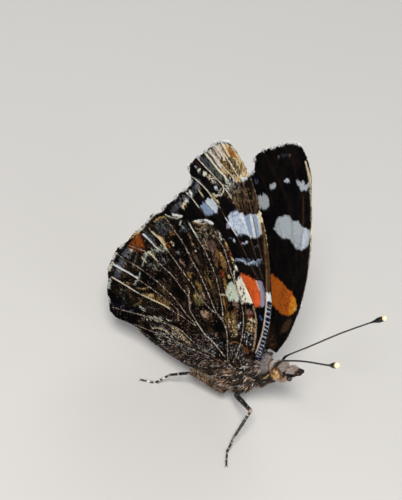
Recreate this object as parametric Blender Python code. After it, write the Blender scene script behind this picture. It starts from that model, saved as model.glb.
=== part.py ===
"""Red admiral butterfly (Vanessa atalanta), life size, standing with its wings held over its back.

The insect faces +X and stands on the plane Z = 0. Lengths are in millimetres and turned into
metres where a mesh is made. Head, thorax, abdomen and wings are shaped in the trunk's own frame
(+X to the head, +Y to its left, +Z to its back, origin in the middle of the thorax), which an
empty tips head up and leans to the left. The legs are shaped in the floor's frame.
"""
import math

import bmesh
import bpy
from mathutils import Euler, Matrix, Vector

MM = 0.001
LEFT = 1
RIGHT = -1
SIDES = ((LEFT, "left"), (RIGHT, "right"))

# Stance of the trunk over the floor.
PITCH = math.radians(25.0)
LEAN = math.radians(-8.0)
TRUNK_HEIGHT = 6.3

# Wings. A wing lies in its own plane: x runs from the hinge to the apex, y to the inner margin.
WING_THICKNESS = 0.5
FOREWING_HINGE = {RIGHT: (2.2, -1.8, 1.4), LEFT: (2.2, 1.8, 1.4)}
HINDWING_HINGE = {RIGHT: (0.2, -2.7, 1.2), LEFT: (0.2, 3.05, 1.2)}
FOREWING_SWING = {RIGHT: math.radians(2.6), LEFT: math.radians(18.5)}
HINDWING_SWING = {RIGHT: math.radians(2.6), LEFT: math.radians(8.0)}
TOE_IN = {RIGHT: 0.0, LEFT: math.radians(8.9)}

FOREWING_COSTA = ((1.4, -1.3), (3.8, -2.4), (5.7, -3.0), (8.0, -3.55), (10.4, -3.95), (14.8, -4.2),
                  (19.2, -4.1), (24.5, -3.2), (28.2, -2.0), (30.2, -0.6))
FOREWING_APEX = ((30.6, 0.5), (30.0, 1.8), (28.9, 3.3), (28.0, 4.7))
FOREWING_OUTER = ((27.2, 5.6), (26.0, 5.8), (24.7, 5.6), (23.6, 6.7), (22.3, 8.4), (20.9, 10.1),
                  (19.2, 11.7), (17.5, 13.0))
FOREWING_TORNUS = ((16.0, 13.8), (14.9, 13.7), (13.8, 12.7))
FOREWING_INNER = ((10.5, 9.2), (6.0, 5.1), (2.6, 2.0), (1.5, 0.8))
FOREWING_WAVES = (6, 0.16)

HINDWING_COSTA = ((0.8, -1.3), (2.0, -2.6), (4.6, -3.5), (7.6, -4.1), (10.2, -3.7), (13.6, -2.5),
                  (17.2, -1.2), (19.7, 0.2))
HINDWING_OUTER = ((20.5, 1.5), (20.4, 3.9), (20.8, 6.6), (20.7, 9.0), (19.0, 11.2), (17.2, 13.2),
                  (15.6, 15.3), (13.9, 16.9), (11.8, 17.9), (9.6, 18.5), (7.4, 18.7))
HINDWING_TORNUS = ((5.9, 18.6), (5.0, 17.6))
HINDWING_INNER = ((4.5, 15.4), (3.4, 13.0), (1.9, 10.9), (0.7, 8.6), (0.2, 6.4), (0.3, 4.0), (0.6, 1.0))
HINDWING_WAVES = (7, 0.22)

# Trunk sections: x, height of the centre, half width, half height.
THORAX_SECTIONS = ((3.92, 1.05, 0.75, 0.75), (3.7, 1.1, 1.25, 1.35), (3.1, 1.08, 1.75, 1.85),
                   (2.0, 0.8, 2.25, 2.3), (0.3, 0.3, 2.55, 2.6), (-1.5, -0.12, 2.55, 2.72),
                   (-2.9, -0.25, 2.25, 2.45), (-3.9, -0.2, 1.8, 2.0), (-4.35, -0.1, 1.3, 1.45),
                   (-4.45, -0.05, 0.95, 1.1))
ABDOMEN_SECTIONS = ((-4.6, 0.0, 0.95, 1.1), (-4.9, 0.1, 1.45, 1.55), (-5.8, 0.46, 1.8, 1.85),
                    (-7.6, 1.15, 1.92, 1.92), (-9.4, 1.8, 1.84, 1.82), (-11.2, 2.45, 1.62, 1.6),
                    (-13.0, 3.1, 1.32, 1.3), (-14.6, 3.66, 0.96, 0.94), (-15.8, 4.08, 0.58, 0.56),
                    (-16.3, 4.25, 0.27, 0.27))
ABDOMEN_RINGS = 7
ABDOMEN_RING_DEPTH = 0.05
HEAD_SECTIONS = ((4.05, 1.0, 0.72, 0.72), (4.25, 0.92, 1.05, 1.05), (4.7, 0.8, 1.32, 1.3),
                 (5.2, 0.76, 1.36, 1.34), (5.65, 0.78, 1.12, 1.15), (5.92, 0.8, 0.75, 0.8),
                 (6.02, 0.8, 0.4, 0.45))
PALP_SECTIONS = ((6.12, 0.72, 0.26, 0.36), (6.35, 0.76, 0.36, 0.62), (6.9, 0.82, 0.4, 0.7),
                 (7.5, 0.86, 0.36, 0.6), (7.8, 0.88, 0.3, 0.42), (8.3, 0.9, 0.27, 0.36),
                 (8.62, 0.92, 0.2, 0.2))
PALP_OFFSET = 0.5
TRUNK_SIDES = 20
HEAD_SIDES = 16
PALP_SIDES = 10
THINNEST_SECTION = 0.2

EYE_CENTRE = (5.02, 1.1, 0.8)
EYE_RADII = (0.74, 0.62, 0.86)
SOCKET_GAP = 0.1

COIL_CENTRE = (6.3, 0.0, -0.58)
COIL_RADIUS = 0.3
COIL_THICKNESS = 0.25

ANTENNA_POINTS = {
    RIGHT: ((5.2, -0.62, 2.2), (6.0, -0.9, 2.55), (7.0, -1.4, 2.95), (10.1, -3.0, 4.05),
            (12.4, -4.25, 4.75), (15.6, -5.95, 5.6)),
    LEFT: ((5.2, 0.62, 2.2), (6.6, 1.25, 2.75), (8.6, 2.2, 3.45), (12.1, 3.8, 4.8),
           (15.6, 5.4, 5.9)),
}
CLUB_END = {RIGHT: (17.95, -7.0, 6.35), LEFT: (17.85, 6.25, 6.55)}
ANTENNA_RADIUS = 0.26
CLUB_RADIUS = 0.42
CLUB_STATIONS = (0.0, 0.25, 0.6, 0.88, 1.0)
CLUB_WIDTHS = (0.62, 0.8, 1.0, 0.8, 0.45)
JOINT_GAP = 0.12
KNEE_GAP = 0.2

# Legs in the floor's frame: hip, knee, ankle, then where the tarsus touches and where it ends.
FOOT_HALF = 0.25
LEGS = {
    ("midleg", RIGHT): ((0.1, -2.3, 3.7), (3.5, -4.9, 5.3), (3.15, -7.7, 2.7), (2.85, -8.2), (3.95, -10.3)),
    ("midleg", LEFT): ((0.1, 2.1, 3.3), (0.55, 6.3, 5.1), (-2.2, 5.6, 2.4), (-2.0, 5.2), (-1.2, 7.0)),
    ("hindleg", RIGHT): ((-1.9, -1.9, 2.75), (-6.4, -2.35, 3.75), (-9.1, -3.35, 2.4), (-10.8, -3.8),
                         (-12.5, -4.45)),
    ("hindleg", LEFT): ((-1.9, 1.3, 2.45), (-6.3, 2.1, 3.2), (-9.0, 3.55, 2.2), (-10.7, 3.95),
                        (-12.4, 4.9)),
}
FEMUR_RADII = (0.34, 0.42, 0.3)
TIBIA_RADII = (0.27, 0.32, 0.26)
# Along a femur or tibia: where its ends are drawn in, where it is thickest, and how far the ends draw in.
LIMB_STATIONS = (0.0, 0.06, 0.45, 0.94, 1.0)
LIMB_END_WIDTH = 0.6
TARSUS_SIDES = 8
FORELEG_POINTS = ((2.4, 0.8, -1.5), (3.3, 0.8, -0.98), (4.1, 0.74, -0.76), (4.7, 0.66, -0.78))
FORELEG_RADII = (0.26, 0.32, 0.3, 0.25)


def clear_scene():
    """Remove every object of the open scene."""
    for obj in list(bpy.data.objects):
        bpy.data.objects.remove(obj, do_unlink=True)


def make_material(name, colour, roughness):
    """A plain Principled material."""
    material = bpy.data.materials.new(name)
    material.use_nodes = True
    shader = material.node_tree.nodes["Principled BSDF"]
    shader.inputs["Base Color"].default_value = (*colour, 1.0)
    shader.inputs["Roughness"].default_value = roughness
    shader.inputs["Metallic"].default_value = 0.0
    return material


def smooth_curve(points, steps):
    """Points along a Catmull-Rom curve through `points`, with `steps` to each span."""
    vectors = [Vector(point) for point in points]
    ends = [2 * vectors[0] - vectors[1]] + vectors + [2 * vectors[-1] - vectors[-2]]
    curve = []
    for index in range(1, len(ends) - 2):
        before, start, end, after = ends[index - 1:index + 3]
        for step in range(steps):
            t = step / steps
            curve.append(0.5 * (2 * start + (end - before) * t
                                + (2 * before - 5 * start + 4 * end - after) * t ** 2
                                + (3 * start - before - 3 * end + after) * t ** 3))
    curve.append(vectors[-1])
    return curve


def waved_margin(points, waves, steps):
    """The outer margin of a wing, in at the folds between veins and out at the vein ends."""
    count, depth = waves
    curve = smooth_curve([(*point, 0.0) for point in points], steps)
    waved = []
    for index, point in enumerate(curve):
        before = curve[max(index - 1, 0)]
        after = curve[min(index + 1, len(curve) - 1)]
        along = (after - before).normalized()
        outward = Vector((along.y, -along.x, 0.0))
        phase = index / (len(curve) - 1)
        waved.append(point - outward * depth * math.sin(math.pi * count * phase) ** 2)
    return waved


def wing_outline(costa, apex, outer, tornus, inner, waves):
    """The closed outline of a wing in its own plane, from the root round the margin and back."""
    front = smooth_curve([(*point, 0.0) for point in costa + apex], 3)
    margin = waved_margin(apex[-1:] + outer + tornus[:1], waves, 4)
    back = smooth_curve([(*point, 0.0) for point in tornus + inner], 3)
    return front[:-1] + margin[:-1] + back


def wing_matrix(side, hinge, swing, toe_in):
    """Where a wing's plane sits in the trunk's frame; swing turns the apex forward."""
    forward = Vector((math.cos(toe_in), -side * math.sin(toe_in), 0.0))
    up = Vector((0.0, 0.0, 1.0))
    to_apex = forward * math.sin(swing) + up * math.cos(swing)
    to_margin = -forward * math.cos(swing) + up * math.sin(swing)
    normal = to_apex.cross(to_margin)
    matrix = Matrix((to_apex, to_margin, normal)).transposed().to_4x4()
    matrix.translation = Vector(hinge) * MM
    return matrix


def link(obj, material, collection, parent):
    """Put an object in the model's collection, under its empty, with its material."""
    collection.objects.link(obj)
    obj.data.materials.append(material)
    obj.parent = parent
    return obj


def mesh_from(name, vertices, faces, smooth_angle=40.0):
    """A mesh object with its faces turned outward."""
    mesh = bpy.data.meshes.new(name)
    mesh.from_pydata([Vector(vertex) * MM for vertex in vertices], [], faces)
    work = bmesh.new()
    work.from_mesh(mesh)
    bmesh.ops.recalc_face_normals(work, faces=work.faces)
    work.to_mesh(mesh)
    work.free()
    mesh.shade_smooth()
    mesh.set_sharp_from_angle(angle=math.radians(smooth_angle))
    return bpy.data.objects.new(name, mesh)


def loft(name, rings):
    """A closed solid through rings of points, with a flat fan over each end."""
    sides = len(rings[0])
    vertices = [point for ring in rings for point in ring]
    faces = []
    for row in range(len(rings) - 1):
        for column in range(sides):
            following = (column + 1) % sides
            faces.append((row * sides + column, row * sides + following,
                          (row + 1) * sides + following, (row + 1) * sides + column))
    for row in (0, len(rings) - 1):
        vertices.append(sum((Vector(point) for point in rings[row]), Vector()) / sides)
        centre = len(vertices) - 1
        for column in range(sides):
            faces.append((row * sides + column, row * sides + (column + 1) % sides, centre))
    return mesh_from(name, vertices, faces)


def section_rings(sections, sides, steps, offset=0.0, ring_depth=0.0, ring_count=0):
    """Upright elliptic rings along X through the named sections, grooved where rings are asked for."""
    rings = []
    rows = smooth_curve([section[:3] for section in sections], steps)
    heights = smooth_curve([(section[3], 0.0, 0.0) for section in sections], steps)
    length = rows[-1].x - rows[0].x
    for row, height in zip(rows, heights):
        along = (row.x - rows[0].x) / length
        groove = ring_depth * (0.5 + 0.5 * math.cos(2 * math.pi * ring_count * along))
        half_width = max(row.z - groove, THINNEST_SECTION)
        half_height = max(height.x - groove, THINNEST_SECTION)
        ring = []
        for side in range(sides):
            turn = 2 * math.pi * side / sides
            ring.append((row.x, offset + half_width * math.cos(turn), row.y + half_height * math.sin(turn)))
        rings.append(ring)
    return rings


def tapered_tube(name, points, radii):
    """A round limb along `points`, as a bevelled curve with a radius at each point."""
    curve = bpy.data.curves.new(name, "CURVE")
    curve.dimensions = "3D"
    curve.bevel_depth = MM
    curve.bevel_resolution = 2
    curve.use_fill_caps = True
    spline = curve.splines.new("POLY")
    spline.points.add(len(points) - 1)
    for target, point, radius in zip(spline.points, points, radii):
        target.co = (*(Vector(point) * MM), 1.0)
        target.radius = radius
    return bpy.data.objects.new(name, curve)


def wing(name, outline):
    """A wing membrane as a flat outline, filled and given its thickness."""
    curve = bpy.data.curves.new(name, "CURVE")
    curve.dimensions = "2D"
    curve.fill_mode = "BOTH"
    curve.extrude = WING_THICKNESS / 2 * MM
    spline = curve.splines.new("POLY")
    spline.points.add(len(outline) - 1)
    spline.use_cyclic_u = True
    for target, point in zip(spline.points, outline):
        target.co = (*(point * MM), 1.0)
    return bpy.data.objects.new(name, curve)


def ellipsoid(name, centre, radii, segments=20, rings=12):
    """A UV sphere stretched to `radii`, with the stretch in its mesh."""
    mesh = bpy.data.meshes.new(name)
    work = bmesh.new()
    bmesh.ops.create_uvsphere(work, u_segments=segments, v_segments=rings, radius=MM)
    bmesh.ops.scale(work, vec=radii, verts=work.verts)
    work.to_mesh(mesh)
    work.free()
    mesh.shade_smooth()
    obj = bpy.data.objects.new(name, mesh)
    obj.location = Vector(centre) * MM
    return obj


def mirrored(point, side):
    """A point of the left side, moved to the given side."""
    return (point[0], side * point[1], point[2])


def add_wings(collection, trunk, material):
    """The four wings, hindwings outside the forewings."""
    forewing = wing_outline(FOREWING_COSTA, FOREWING_APEX, FOREWING_OUTER, FOREWING_TORNUS,
                            FOREWING_INNER, FOREWING_WAVES)
    hindwing = wing_outline(HINDWING_COSTA, HINDWING_OUTER[:1], HINDWING_OUTER[1:], HINDWING_TORNUS,
                            HINDWING_INNER, HINDWING_WAVES)
    for side, word in SIDES:
        front = link(wing("forewing_" + word, forewing), material, collection, trunk)
        front.matrix_local = wing_matrix(side, FOREWING_HINGE[side], FOREWING_SWING[side], TOE_IN[side])
        rear = link(wing("hindwing_" + word, hindwing), material, collection, trunk)
        rear.matrix_local = wing_matrix(side, HINDWING_HINGE[side], HINDWING_SWING[side], TOE_IN[side])


def add_trunk(collection, trunk, material):
    """Thorax and abdomen, to the outside of their hair."""
    thorax = loft("thorax", section_rings(THORAX_SECTIONS, TRUNK_SIDES, 2))
    link(thorax, material, collection, trunk)
    rings = section_rings(ABDOMEN_SECTIONS, TRUNK_SIDES, 3, ring_depth=ABDOMEN_RING_DEPTH,
                          ring_count=ABDOMEN_RINGS)
    link(loft("abdomen", rings), material, collection, trunk)


def add_head(collection, trunk, cutters, material, eye_material):
    """The head with a socket for each eye, the eyes, the palps and the coiled proboscis."""
    head = loft("head", section_rings(HEAD_SECTIONS, HEAD_SIDES, 2))
    link(head, material, collection, trunk)
    socket_radii = [radius + SOCKET_GAP for radius in EYE_RADII]
    for side, word in SIDES:
        eye = ellipsoid("eye_" + word, mirrored(EYE_CENTRE, side), EYE_RADII)
        link(eye, eye_material, collection, trunk)
        cutter = ellipsoid("socket_cutter_" + word, mirrored(EYE_CENTRE, side), socket_radii)
        link(cutter, eye_material, cutters, trunk)
        cutter.hide_render = True
        cutter.display_type = "WIRE"
        cut = head.modifiers.new("socket_" + word, "BOOLEAN")
        cut.operation = "DIFFERENCE"
        cut.object = cutter
        rings = section_rings(PALP_SECTIONS, PALP_SIDES, 2, offset=side * PALP_OFFSET)
        link(loft("palp_" + word, rings), material, collection, trunk)
    bpy.ops.mesh.primitive_torus_add(major_segments=20, minor_segments=8, major_radius=COIL_RADIUS * MM,
                                     minor_radius=COIL_THICKNESS * MM)
    coil = bpy.context.object
    coil.name = "proboscis"
    bpy.context.collection.objects.unlink(coil)
    link(coil, material, collection, trunk)
    coil.data.shade_smooth()
    coil.location = Vector(COIL_CENTRE) * MM
    coil.rotation_euler = (math.pi / 2, 0.0, 0.0)


def add_antennae(collection, trunk, material):
    """Each feeler's shaft and its club."""
    for side, word in SIDES:
        shaft = smooth_curve(ANTENNA_POINTS[side], 4)
        tube = tapered_tube("antenna_" + word, shaft, [ANTENNA_RADIUS] * len(shaft))
        link(tube, material, collection, trunk)
        end = Vector(CLUB_END[side])
        run = end - shaft[-1]
        start = shaft[-1] + run.normalized() * JOINT_GAP
        radii = [width * CLUB_RADIUS for width in CLUB_WIDTHS]
        club = tapered_tube("antenna_club_" + word, [start.lerp(end, part) for part in CLUB_STATIONS], radii)
        link(club, material, collection, trunk)


def limb(name, start, end, radii):
    """A straight leg segment, thickest in its middle and drawn in at both ends."""
    start = Vector(start)
    end = Vector(end)
    along = (end - start).normalized() * KNEE_GAP
    start = start + along
    end = end - along
    widths = (LIMB_END_WIDTH * radii[0], *radii, LIMB_END_WIDTH * radii[2])
    return tapered_tube(name, [start.lerp(end, part) for part in LIMB_STATIONS], widths)


def tarsus(name, ankle, touch, tip):
    """A foot: down from the ankle, then flat along the floor, on a flat sole."""
    radius = FOOT_HALF / math.cos(math.pi / TARSUS_SIDES)
    ankle = Vector(ankle)
    touch = Vector((*touch, FOOT_HALF))
    tip = Vector((*tip, FOOT_HALF))
    start = ankle.lerp(touch, 2 * JOINT_GAP / (touch - ankle).length)
    down = (touch - start).normalized()
    level = (tip - touch).normalized()
    path = ((start, down, 0.8), (start.lerp(touch, 0.15), down, 1.0), (start.lerp(touch, 0.75), down, 1.0),
            (touch, (down + level).normalized(), 1.0), (touch.lerp(tip, 0.25), level, 1.0),
            (touch.lerp(tip, 0.92), level, 1.0), (tip, level, 0.75))
    rings = []
    for centre, heading, scale in path:
        across = Vector((-level.y, level.x, 0.0))
        upward = heading.cross(across).normalized()
        ring = []
        for side in range(TARSUS_SIDES):
            turn = 2 * math.pi * (side + 0.5) / TARSUS_SIDES
            point = centre + radius * scale * (across * math.cos(turn) - upward * math.sin(turn))
            ring.append((point.x, point.y, max(point.z, 0.0)))
        rings.append(ring)
    return loft(name, rings)


def add_legs(collection, stance, trunk, material):
    """Middle and hind legs on the floor, and the small forelegs folded under the neck."""
    for (leg, side), (hip, knee, ankle, touch, tip) in LEGS.items():
        word = "left" if side == LEFT else "right"
        link(limb(f"{leg}_femur_{word}", hip, knee, FEMUR_RADII), material, collection, stance)
        link(limb(f"{leg}_tibia_{word}", knee, ankle, TIBIA_RADII), material, collection, stance)
        link(tarsus(f"{leg}_tarsus_{word}", ankle, touch, tip), material, collection, stance)
    for side, word in SIDES:
        points = [mirrored(point, side) for point in FORELEG_POINTS]
        link(tapered_tube("foreleg_" + word, points, FORELEG_RADII), material, collection, trunk)


def centre_over_origin(collection, stance):
    """Move the model so that the middle of its box stands over the origin."""
    bpy.context.view_layer.update()
    graph = bpy.context.evaluated_depsgraph_get()
    corners = []
    for obj in collection.objects:
        if obj.type == "EMPTY":
            continue
        shape = obj.evaluated_get(graph)
        mesh = shape.to_mesh()
        corners.extend(obj.matrix_world @ vertex.co for vertex in mesh.vertices)
        shape.to_mesh_clear()
    for axis in range(2):
        low = min(corner[axis] for corner in corners)
        high = max(corner[axis] for corner in corners)
        stance.location[axis] -= (low + high) / 2
    bpy.context.view_layer.update()


def build():
    """Model the whole butterfly."""
    clear_scene()
    collection = bpy.data.collections.new("red_admiral")
    cutters = bpy.data.collections.new("cutters")
    bpy.context.scene.collection.children.link(collection)
    bpy.context.scene.collection.children.link(cutters)
    stance = bpy.data.objects.new("stance", None)
    trunk = bpy.data.objects.new("trunk_frame", None)
    for empty in (stance, trunk):
        collection.objects.link(empty)
    trunk.parent = stance
    trunk.location = (0.0, 0.0, TRUNK_HEIGHT * MM)
    trunk.rotation_euler = Euler((LEAN, -PITCH, 0.0))

    hair = make_material("hair", (0.09, 0.06, 0.045), 0.8)
    chitin = make_material("chitin", (0.03, 0.024, 0.02), 0.45)
    eye = make_material("eye", (0.36, 0.2, 0.08), 0.35)
    membrane = make_material("wing_scales", (0.05, 0.035, 0.028), 0.7)

    add_wings(collection, trunk, membrane)
    add_trunk(collection, trunk, hair)
    add_head(collection, trunk, cutters, hair, eye)
    add_antennae(collection, trunk, chitin)
    add_legs(collection, stance, trunk, chitin)
    centre_over_origin(collection, stance)


build()
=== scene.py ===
"""Looks of the life-size red admiral: scaled wings, one hairy skin over the trunk, legs and feelers.

Lengths are in millimetres until a mesh is made. A wing is drawn in its own plane, where `a` runs from
the hinge to the apex and `b` to the inner margin; the trunk has its own frame (+X to the head, +Y to
the left, +Z to the back); the legs are in the floor's frame. Colours are laid on as named marks.
"""
import math
from collections import namedtuple

import bpy
import numpy as np
from mathutils import Euler, Matrix, Vector
from mathutils.geometry import delaunay_2d_cdt


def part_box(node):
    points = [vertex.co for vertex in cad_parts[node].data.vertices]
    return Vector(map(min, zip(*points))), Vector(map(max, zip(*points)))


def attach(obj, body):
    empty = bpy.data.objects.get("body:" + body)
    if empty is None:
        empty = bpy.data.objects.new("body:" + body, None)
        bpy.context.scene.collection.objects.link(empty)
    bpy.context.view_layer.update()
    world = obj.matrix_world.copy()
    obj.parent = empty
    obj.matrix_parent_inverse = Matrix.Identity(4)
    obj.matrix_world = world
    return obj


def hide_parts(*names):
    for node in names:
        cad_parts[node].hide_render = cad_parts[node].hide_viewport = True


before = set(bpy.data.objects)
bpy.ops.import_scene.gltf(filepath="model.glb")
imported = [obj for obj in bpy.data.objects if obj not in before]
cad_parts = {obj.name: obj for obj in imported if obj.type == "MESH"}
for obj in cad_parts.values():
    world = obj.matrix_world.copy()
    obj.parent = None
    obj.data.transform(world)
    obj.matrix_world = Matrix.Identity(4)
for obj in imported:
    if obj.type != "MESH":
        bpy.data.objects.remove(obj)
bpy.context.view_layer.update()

MM = 0.001
LEFT = 1
RIGHT = -1
SIDE_WORDS = {LEFT: "left", RIGHT: "right"}

# The trunk's tilt and height above the feet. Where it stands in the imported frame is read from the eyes' boxes.
PITCH = math.radians(25.0)
LEAN = math.radians(-8.0)
TRUNK_HEIGHT = 6.3
# The left eye in the trunk's frame.
EYE_CENTRE = np.array((5.02, 1.1, 0.8))
EYE_RADII = np.array((0.74, 0.62, 0.86))

# A wing's sheet and its raised veins, and the even triangles it is made of.
WING_THICKNESS = 0.12
VEIN_HEIGHT = 0.04
VEIN_SPREAD = 0.09
SHEET_PITCH = 0.17
ROW_HEIGHT = 0.866
# The scales: how far apart they stand in a row, and the rows as a share of that, how far they are strewn as
# a share of it too, how they lean, how far they stay from the rim, and how long and wide they are.
SCALE_PITCH = 0.135
SCALE_ROW_RATIO = 0.92
SCALE_SCATTER = 0.16
SCALE_TILT = 0.14
SCALE_RIM_GAP = 0.04
SCALE_SEEDS = {"forewing": 35, "hindwing": 40}
SCALE_LENGTH = 0.21
SCALE_WIDTH = 0.19
# The hindwings' upper sides hardly show, so their scales stand this much further apart.
COARSER_PITCH = 1.2
# Narrow scales in a row along each vein.
VEIN_SCALE_GAP = 0.09
VEIN_SCALE_WIDTH = 0.068
# The scales of the fringe.
FRINGE_SEED = 79
FRINGE_PITCH = 0.055
FRINGE_WIDTH = 0.14
PALE_FRINGE_LENGTHS = {"forewing": 0.46, "hindwing": 0.3}
DARK_FRINGE_LENGTH = 0.26
# The wings' hinges, their swing forward and their toe-in in degrees, as in the solids.
HINGES = {("forewing", RIGHT): (2.2, -1.8, 1.4), ("forewing", LEFT): (2.2, 1.8, 1.4),
          ("hindwing", RIGHT): (0.2, -2.7, 1.2), ("hindwing", LEFT): (0.2, 3.05, 1.2)}
SWINGS = {("forewing", RIGHT): 2.6, ("forewing", LEFT): 18.5,
          ("hindwing", RIGHT): 2.6, ("hindwing", LEFT): 8.0}
TOE_IN = {RIGHT: 0.0, LEFT: 8.9}

# The wings' outlines, as a and b of their points.
FOREWING_FRONT = ((1.4, -1.3), (3.8, -2.4), (5.7, -3.0), (8.0, -3.55), (10.4, -3.95), (14.8, -4.2),
                  (19.2, -4.1), (24.5, -3.2), (28.2, -2.0), (30.2, -0.6))
FOREWING_APEX = ((30.6, 0.5), (30.0, 1.8), (28.9, 3.3), (28.0, 4.7))
FOREWING_OUTER = ((28.0, 4.7), (27.2, 5.6), (26.0, 5.8), (24.7, 5.6), (23.6, 6.7), (22.3, 8.4),
                  (20.9, 10.1), (19.2, 11.7), (17.5, 13.0), (16.0, 13.8))
FOREWING_BACK = ((16.0, 13.8), (14.9, 13.7), (13.8, 12.7), (10.5, 9.2), (6.0, 5.1), (2.6, 2.0), (1.5, 0.8))
HINDWING_FRONT = ((0.8, -1.3), (2.0, -2.6), (4.6, -3.5), (7.6, -4.1), (10.2, -3.7), (13.6, -2.5),
                  (17.2, -1.2), (19.7, 0.2))
HINDWING_APEX = ((20.5, 1.5),)
HINDWING_OUTER = ((20.5, 1.5), (20.4, 3.9), (20.8, 6.6), (20.7, 9.0), (19.0, 11.2), (17.2, 13.2),
                  (15.6, 15.3), (13.9, 16.9), (11.8, 17.9), (9.6, 18.5), (7.4, 18.7), (5.9, 18.6))
HINDWING_BACK = ((5.9, 18.6), (5.0, 17.6), (4.5, 15.4), (3.4, 13.0), (1.9, 10.9), (0.7, 8.6), (0.2, 6.4),
                 (0.3, 4.0), (0.6, 1.0))
# The bays of the outer margin: how many, and how deep.
WAVES = {"forewing": (6, 0.16), "hindwing": (7, 0.22)}
OUTLINES = {"forewing": (FOREWING_FRONT, FOREWING_APEX, FOREWING_OUTER, FOREWING_BACK),
            "hindwing": (HINDWING_FRONT, HINDWING_APEX, HINDWING_OUTER, HINDWING_BACK)}
# How far the scaled part of each forewing's tip lies from the outline above, and between which a it sets in.
# The fringe makes up for it.
TIP_SHIFTS = {RIGHT: (-0.5, 0.05), LEFT: (0.25, -0.35)}
TIP_SPAN = (24.0, 29.0)
# Steps of a curve between two points of the outline, and of its outer margin.
OUTLINE_STEPS = 6
MARGIN_STEPS = 12
# The fringe's pale stretches: a and b of each, and how far it reaches to either side.
PALE_FRINGE = {
    "forewing": ((30.45, 0.4, 0.85), (29.75, 1.9, 0.5), (28.9, 3.1, 0.45), (28.1, 4.3, 0.4), (26.4, 5.7, 0.25),
                 (24.5, 5.7, 0.45), (23.5, 6.9, 0.45), (22.4, 8.2, 0.5), (20.7, 10.2, 0.5), (19.0, 11.9, 0.5),
                 (17.2, 13.1, 0.4)),
    "hindwing": ((20.4, 1.2, 0.7), (20.6, 2.8, 0.7), (20.8, 5.8, 0.7), (20.6, 8.9, 0.5), (19.5, 10.4, 0.5),
                 (18.2, 12.0, 0.5), (15.6, 15.2, 0.5), (13.9, 16.8, 0.5), (12.2, 17.7, 0.5), (9.8, 18.4, 0.6),
                 (7.5, 18.7, 0.5)),
}
# Where a wing's scales and pleats fan out from.
WING_ROOTS = {"forewing": (0.0, 0.3), "hindwing": (-0.5, 0.5)}

# The veins, as a and b of their points.
FOREWING_VEINS = {
    "radius": ((1.8, -0.5), (3.0, -1.1), (5.0, -1.75), (7.0, -2.55), (9.2, -3.1), (11.5, -3.4),
               (15.0, -3.75), (18.5, -3.55), (21.5, -3.3), (24.0, -2.9), (25.9, -2.55)),
    "radial_fork": ((15.0, -3.4), (18.0, -3.0), (21.4, -2.6), (24.2, -2.1), (25.7, -1.35), (26.6, -0.8),
                    (28.0, 0.0), (29.4, 1.1), (29.9, 1.55)),
    "radial_tip": ((22.8, -2.2), (23.8, -1.8), (25.1, -0.95), (26.2, 0.0), (27.4, 1.1), (28.8, 2.35),
                   (29.3, 2.8)),
    "median_1": ((12.9, -3.1), (15.5, -2.55), (16.7, -2.27), (18.5, -1.8), (21.1, -0.86), (22.0, -0.5),
                 (23.0, 0.0), (24.2, 0.8), (25.0, 1.45), (25.8, 2.2), (26.7, 3.2), (27.4, 3.9), (28.0, 4.6)),
    "median_2": ((12.8, -2.55), (13.8, -1.9), (15.15, -1.35), (17.05, -0.55), (18.15, -0.1), (19.05, 0.45),
                 (20.4, 1.2), (21.7, 1.9), (22.3, 2.45), (23.45, 3.2), (24.3, 4.0), (25.0, 4.9), (25.4, 5.6)),
    "median_3": ((13.2, 0.2), (14.5, 0.9), (17.0, 2.2), (19.0, 3.35), (20.25, 4.1), (21.3, 4.95),
                 (22.7, 6.0), (23.4, 6.8)),
    "cubital_1": ((12.3, 1.0), (14.5, 2.9), (17.0, 5.0), (19.5, 7.3), (21.5, 9.3)),
    "cubital_2": ((9.5, 1.2), (12.0, 3.6), (14.5, 6.2), (17.0, 9.0), (19.0, 11.7)),
    "cell": ((1.8, 0.0), (5.0, 0.3), (9.5, 1.2), (12.3, 1.0), (13.2, 0.2), (13.0, -1.2), (12.8, -2.55),
             (12.9, -3.1)),
    "anal": ((1.8, 0.5), (5.0, 3.2), (9.0, 6.9), (12.5, 10.2), (15.3, 13.2)),
}
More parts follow.
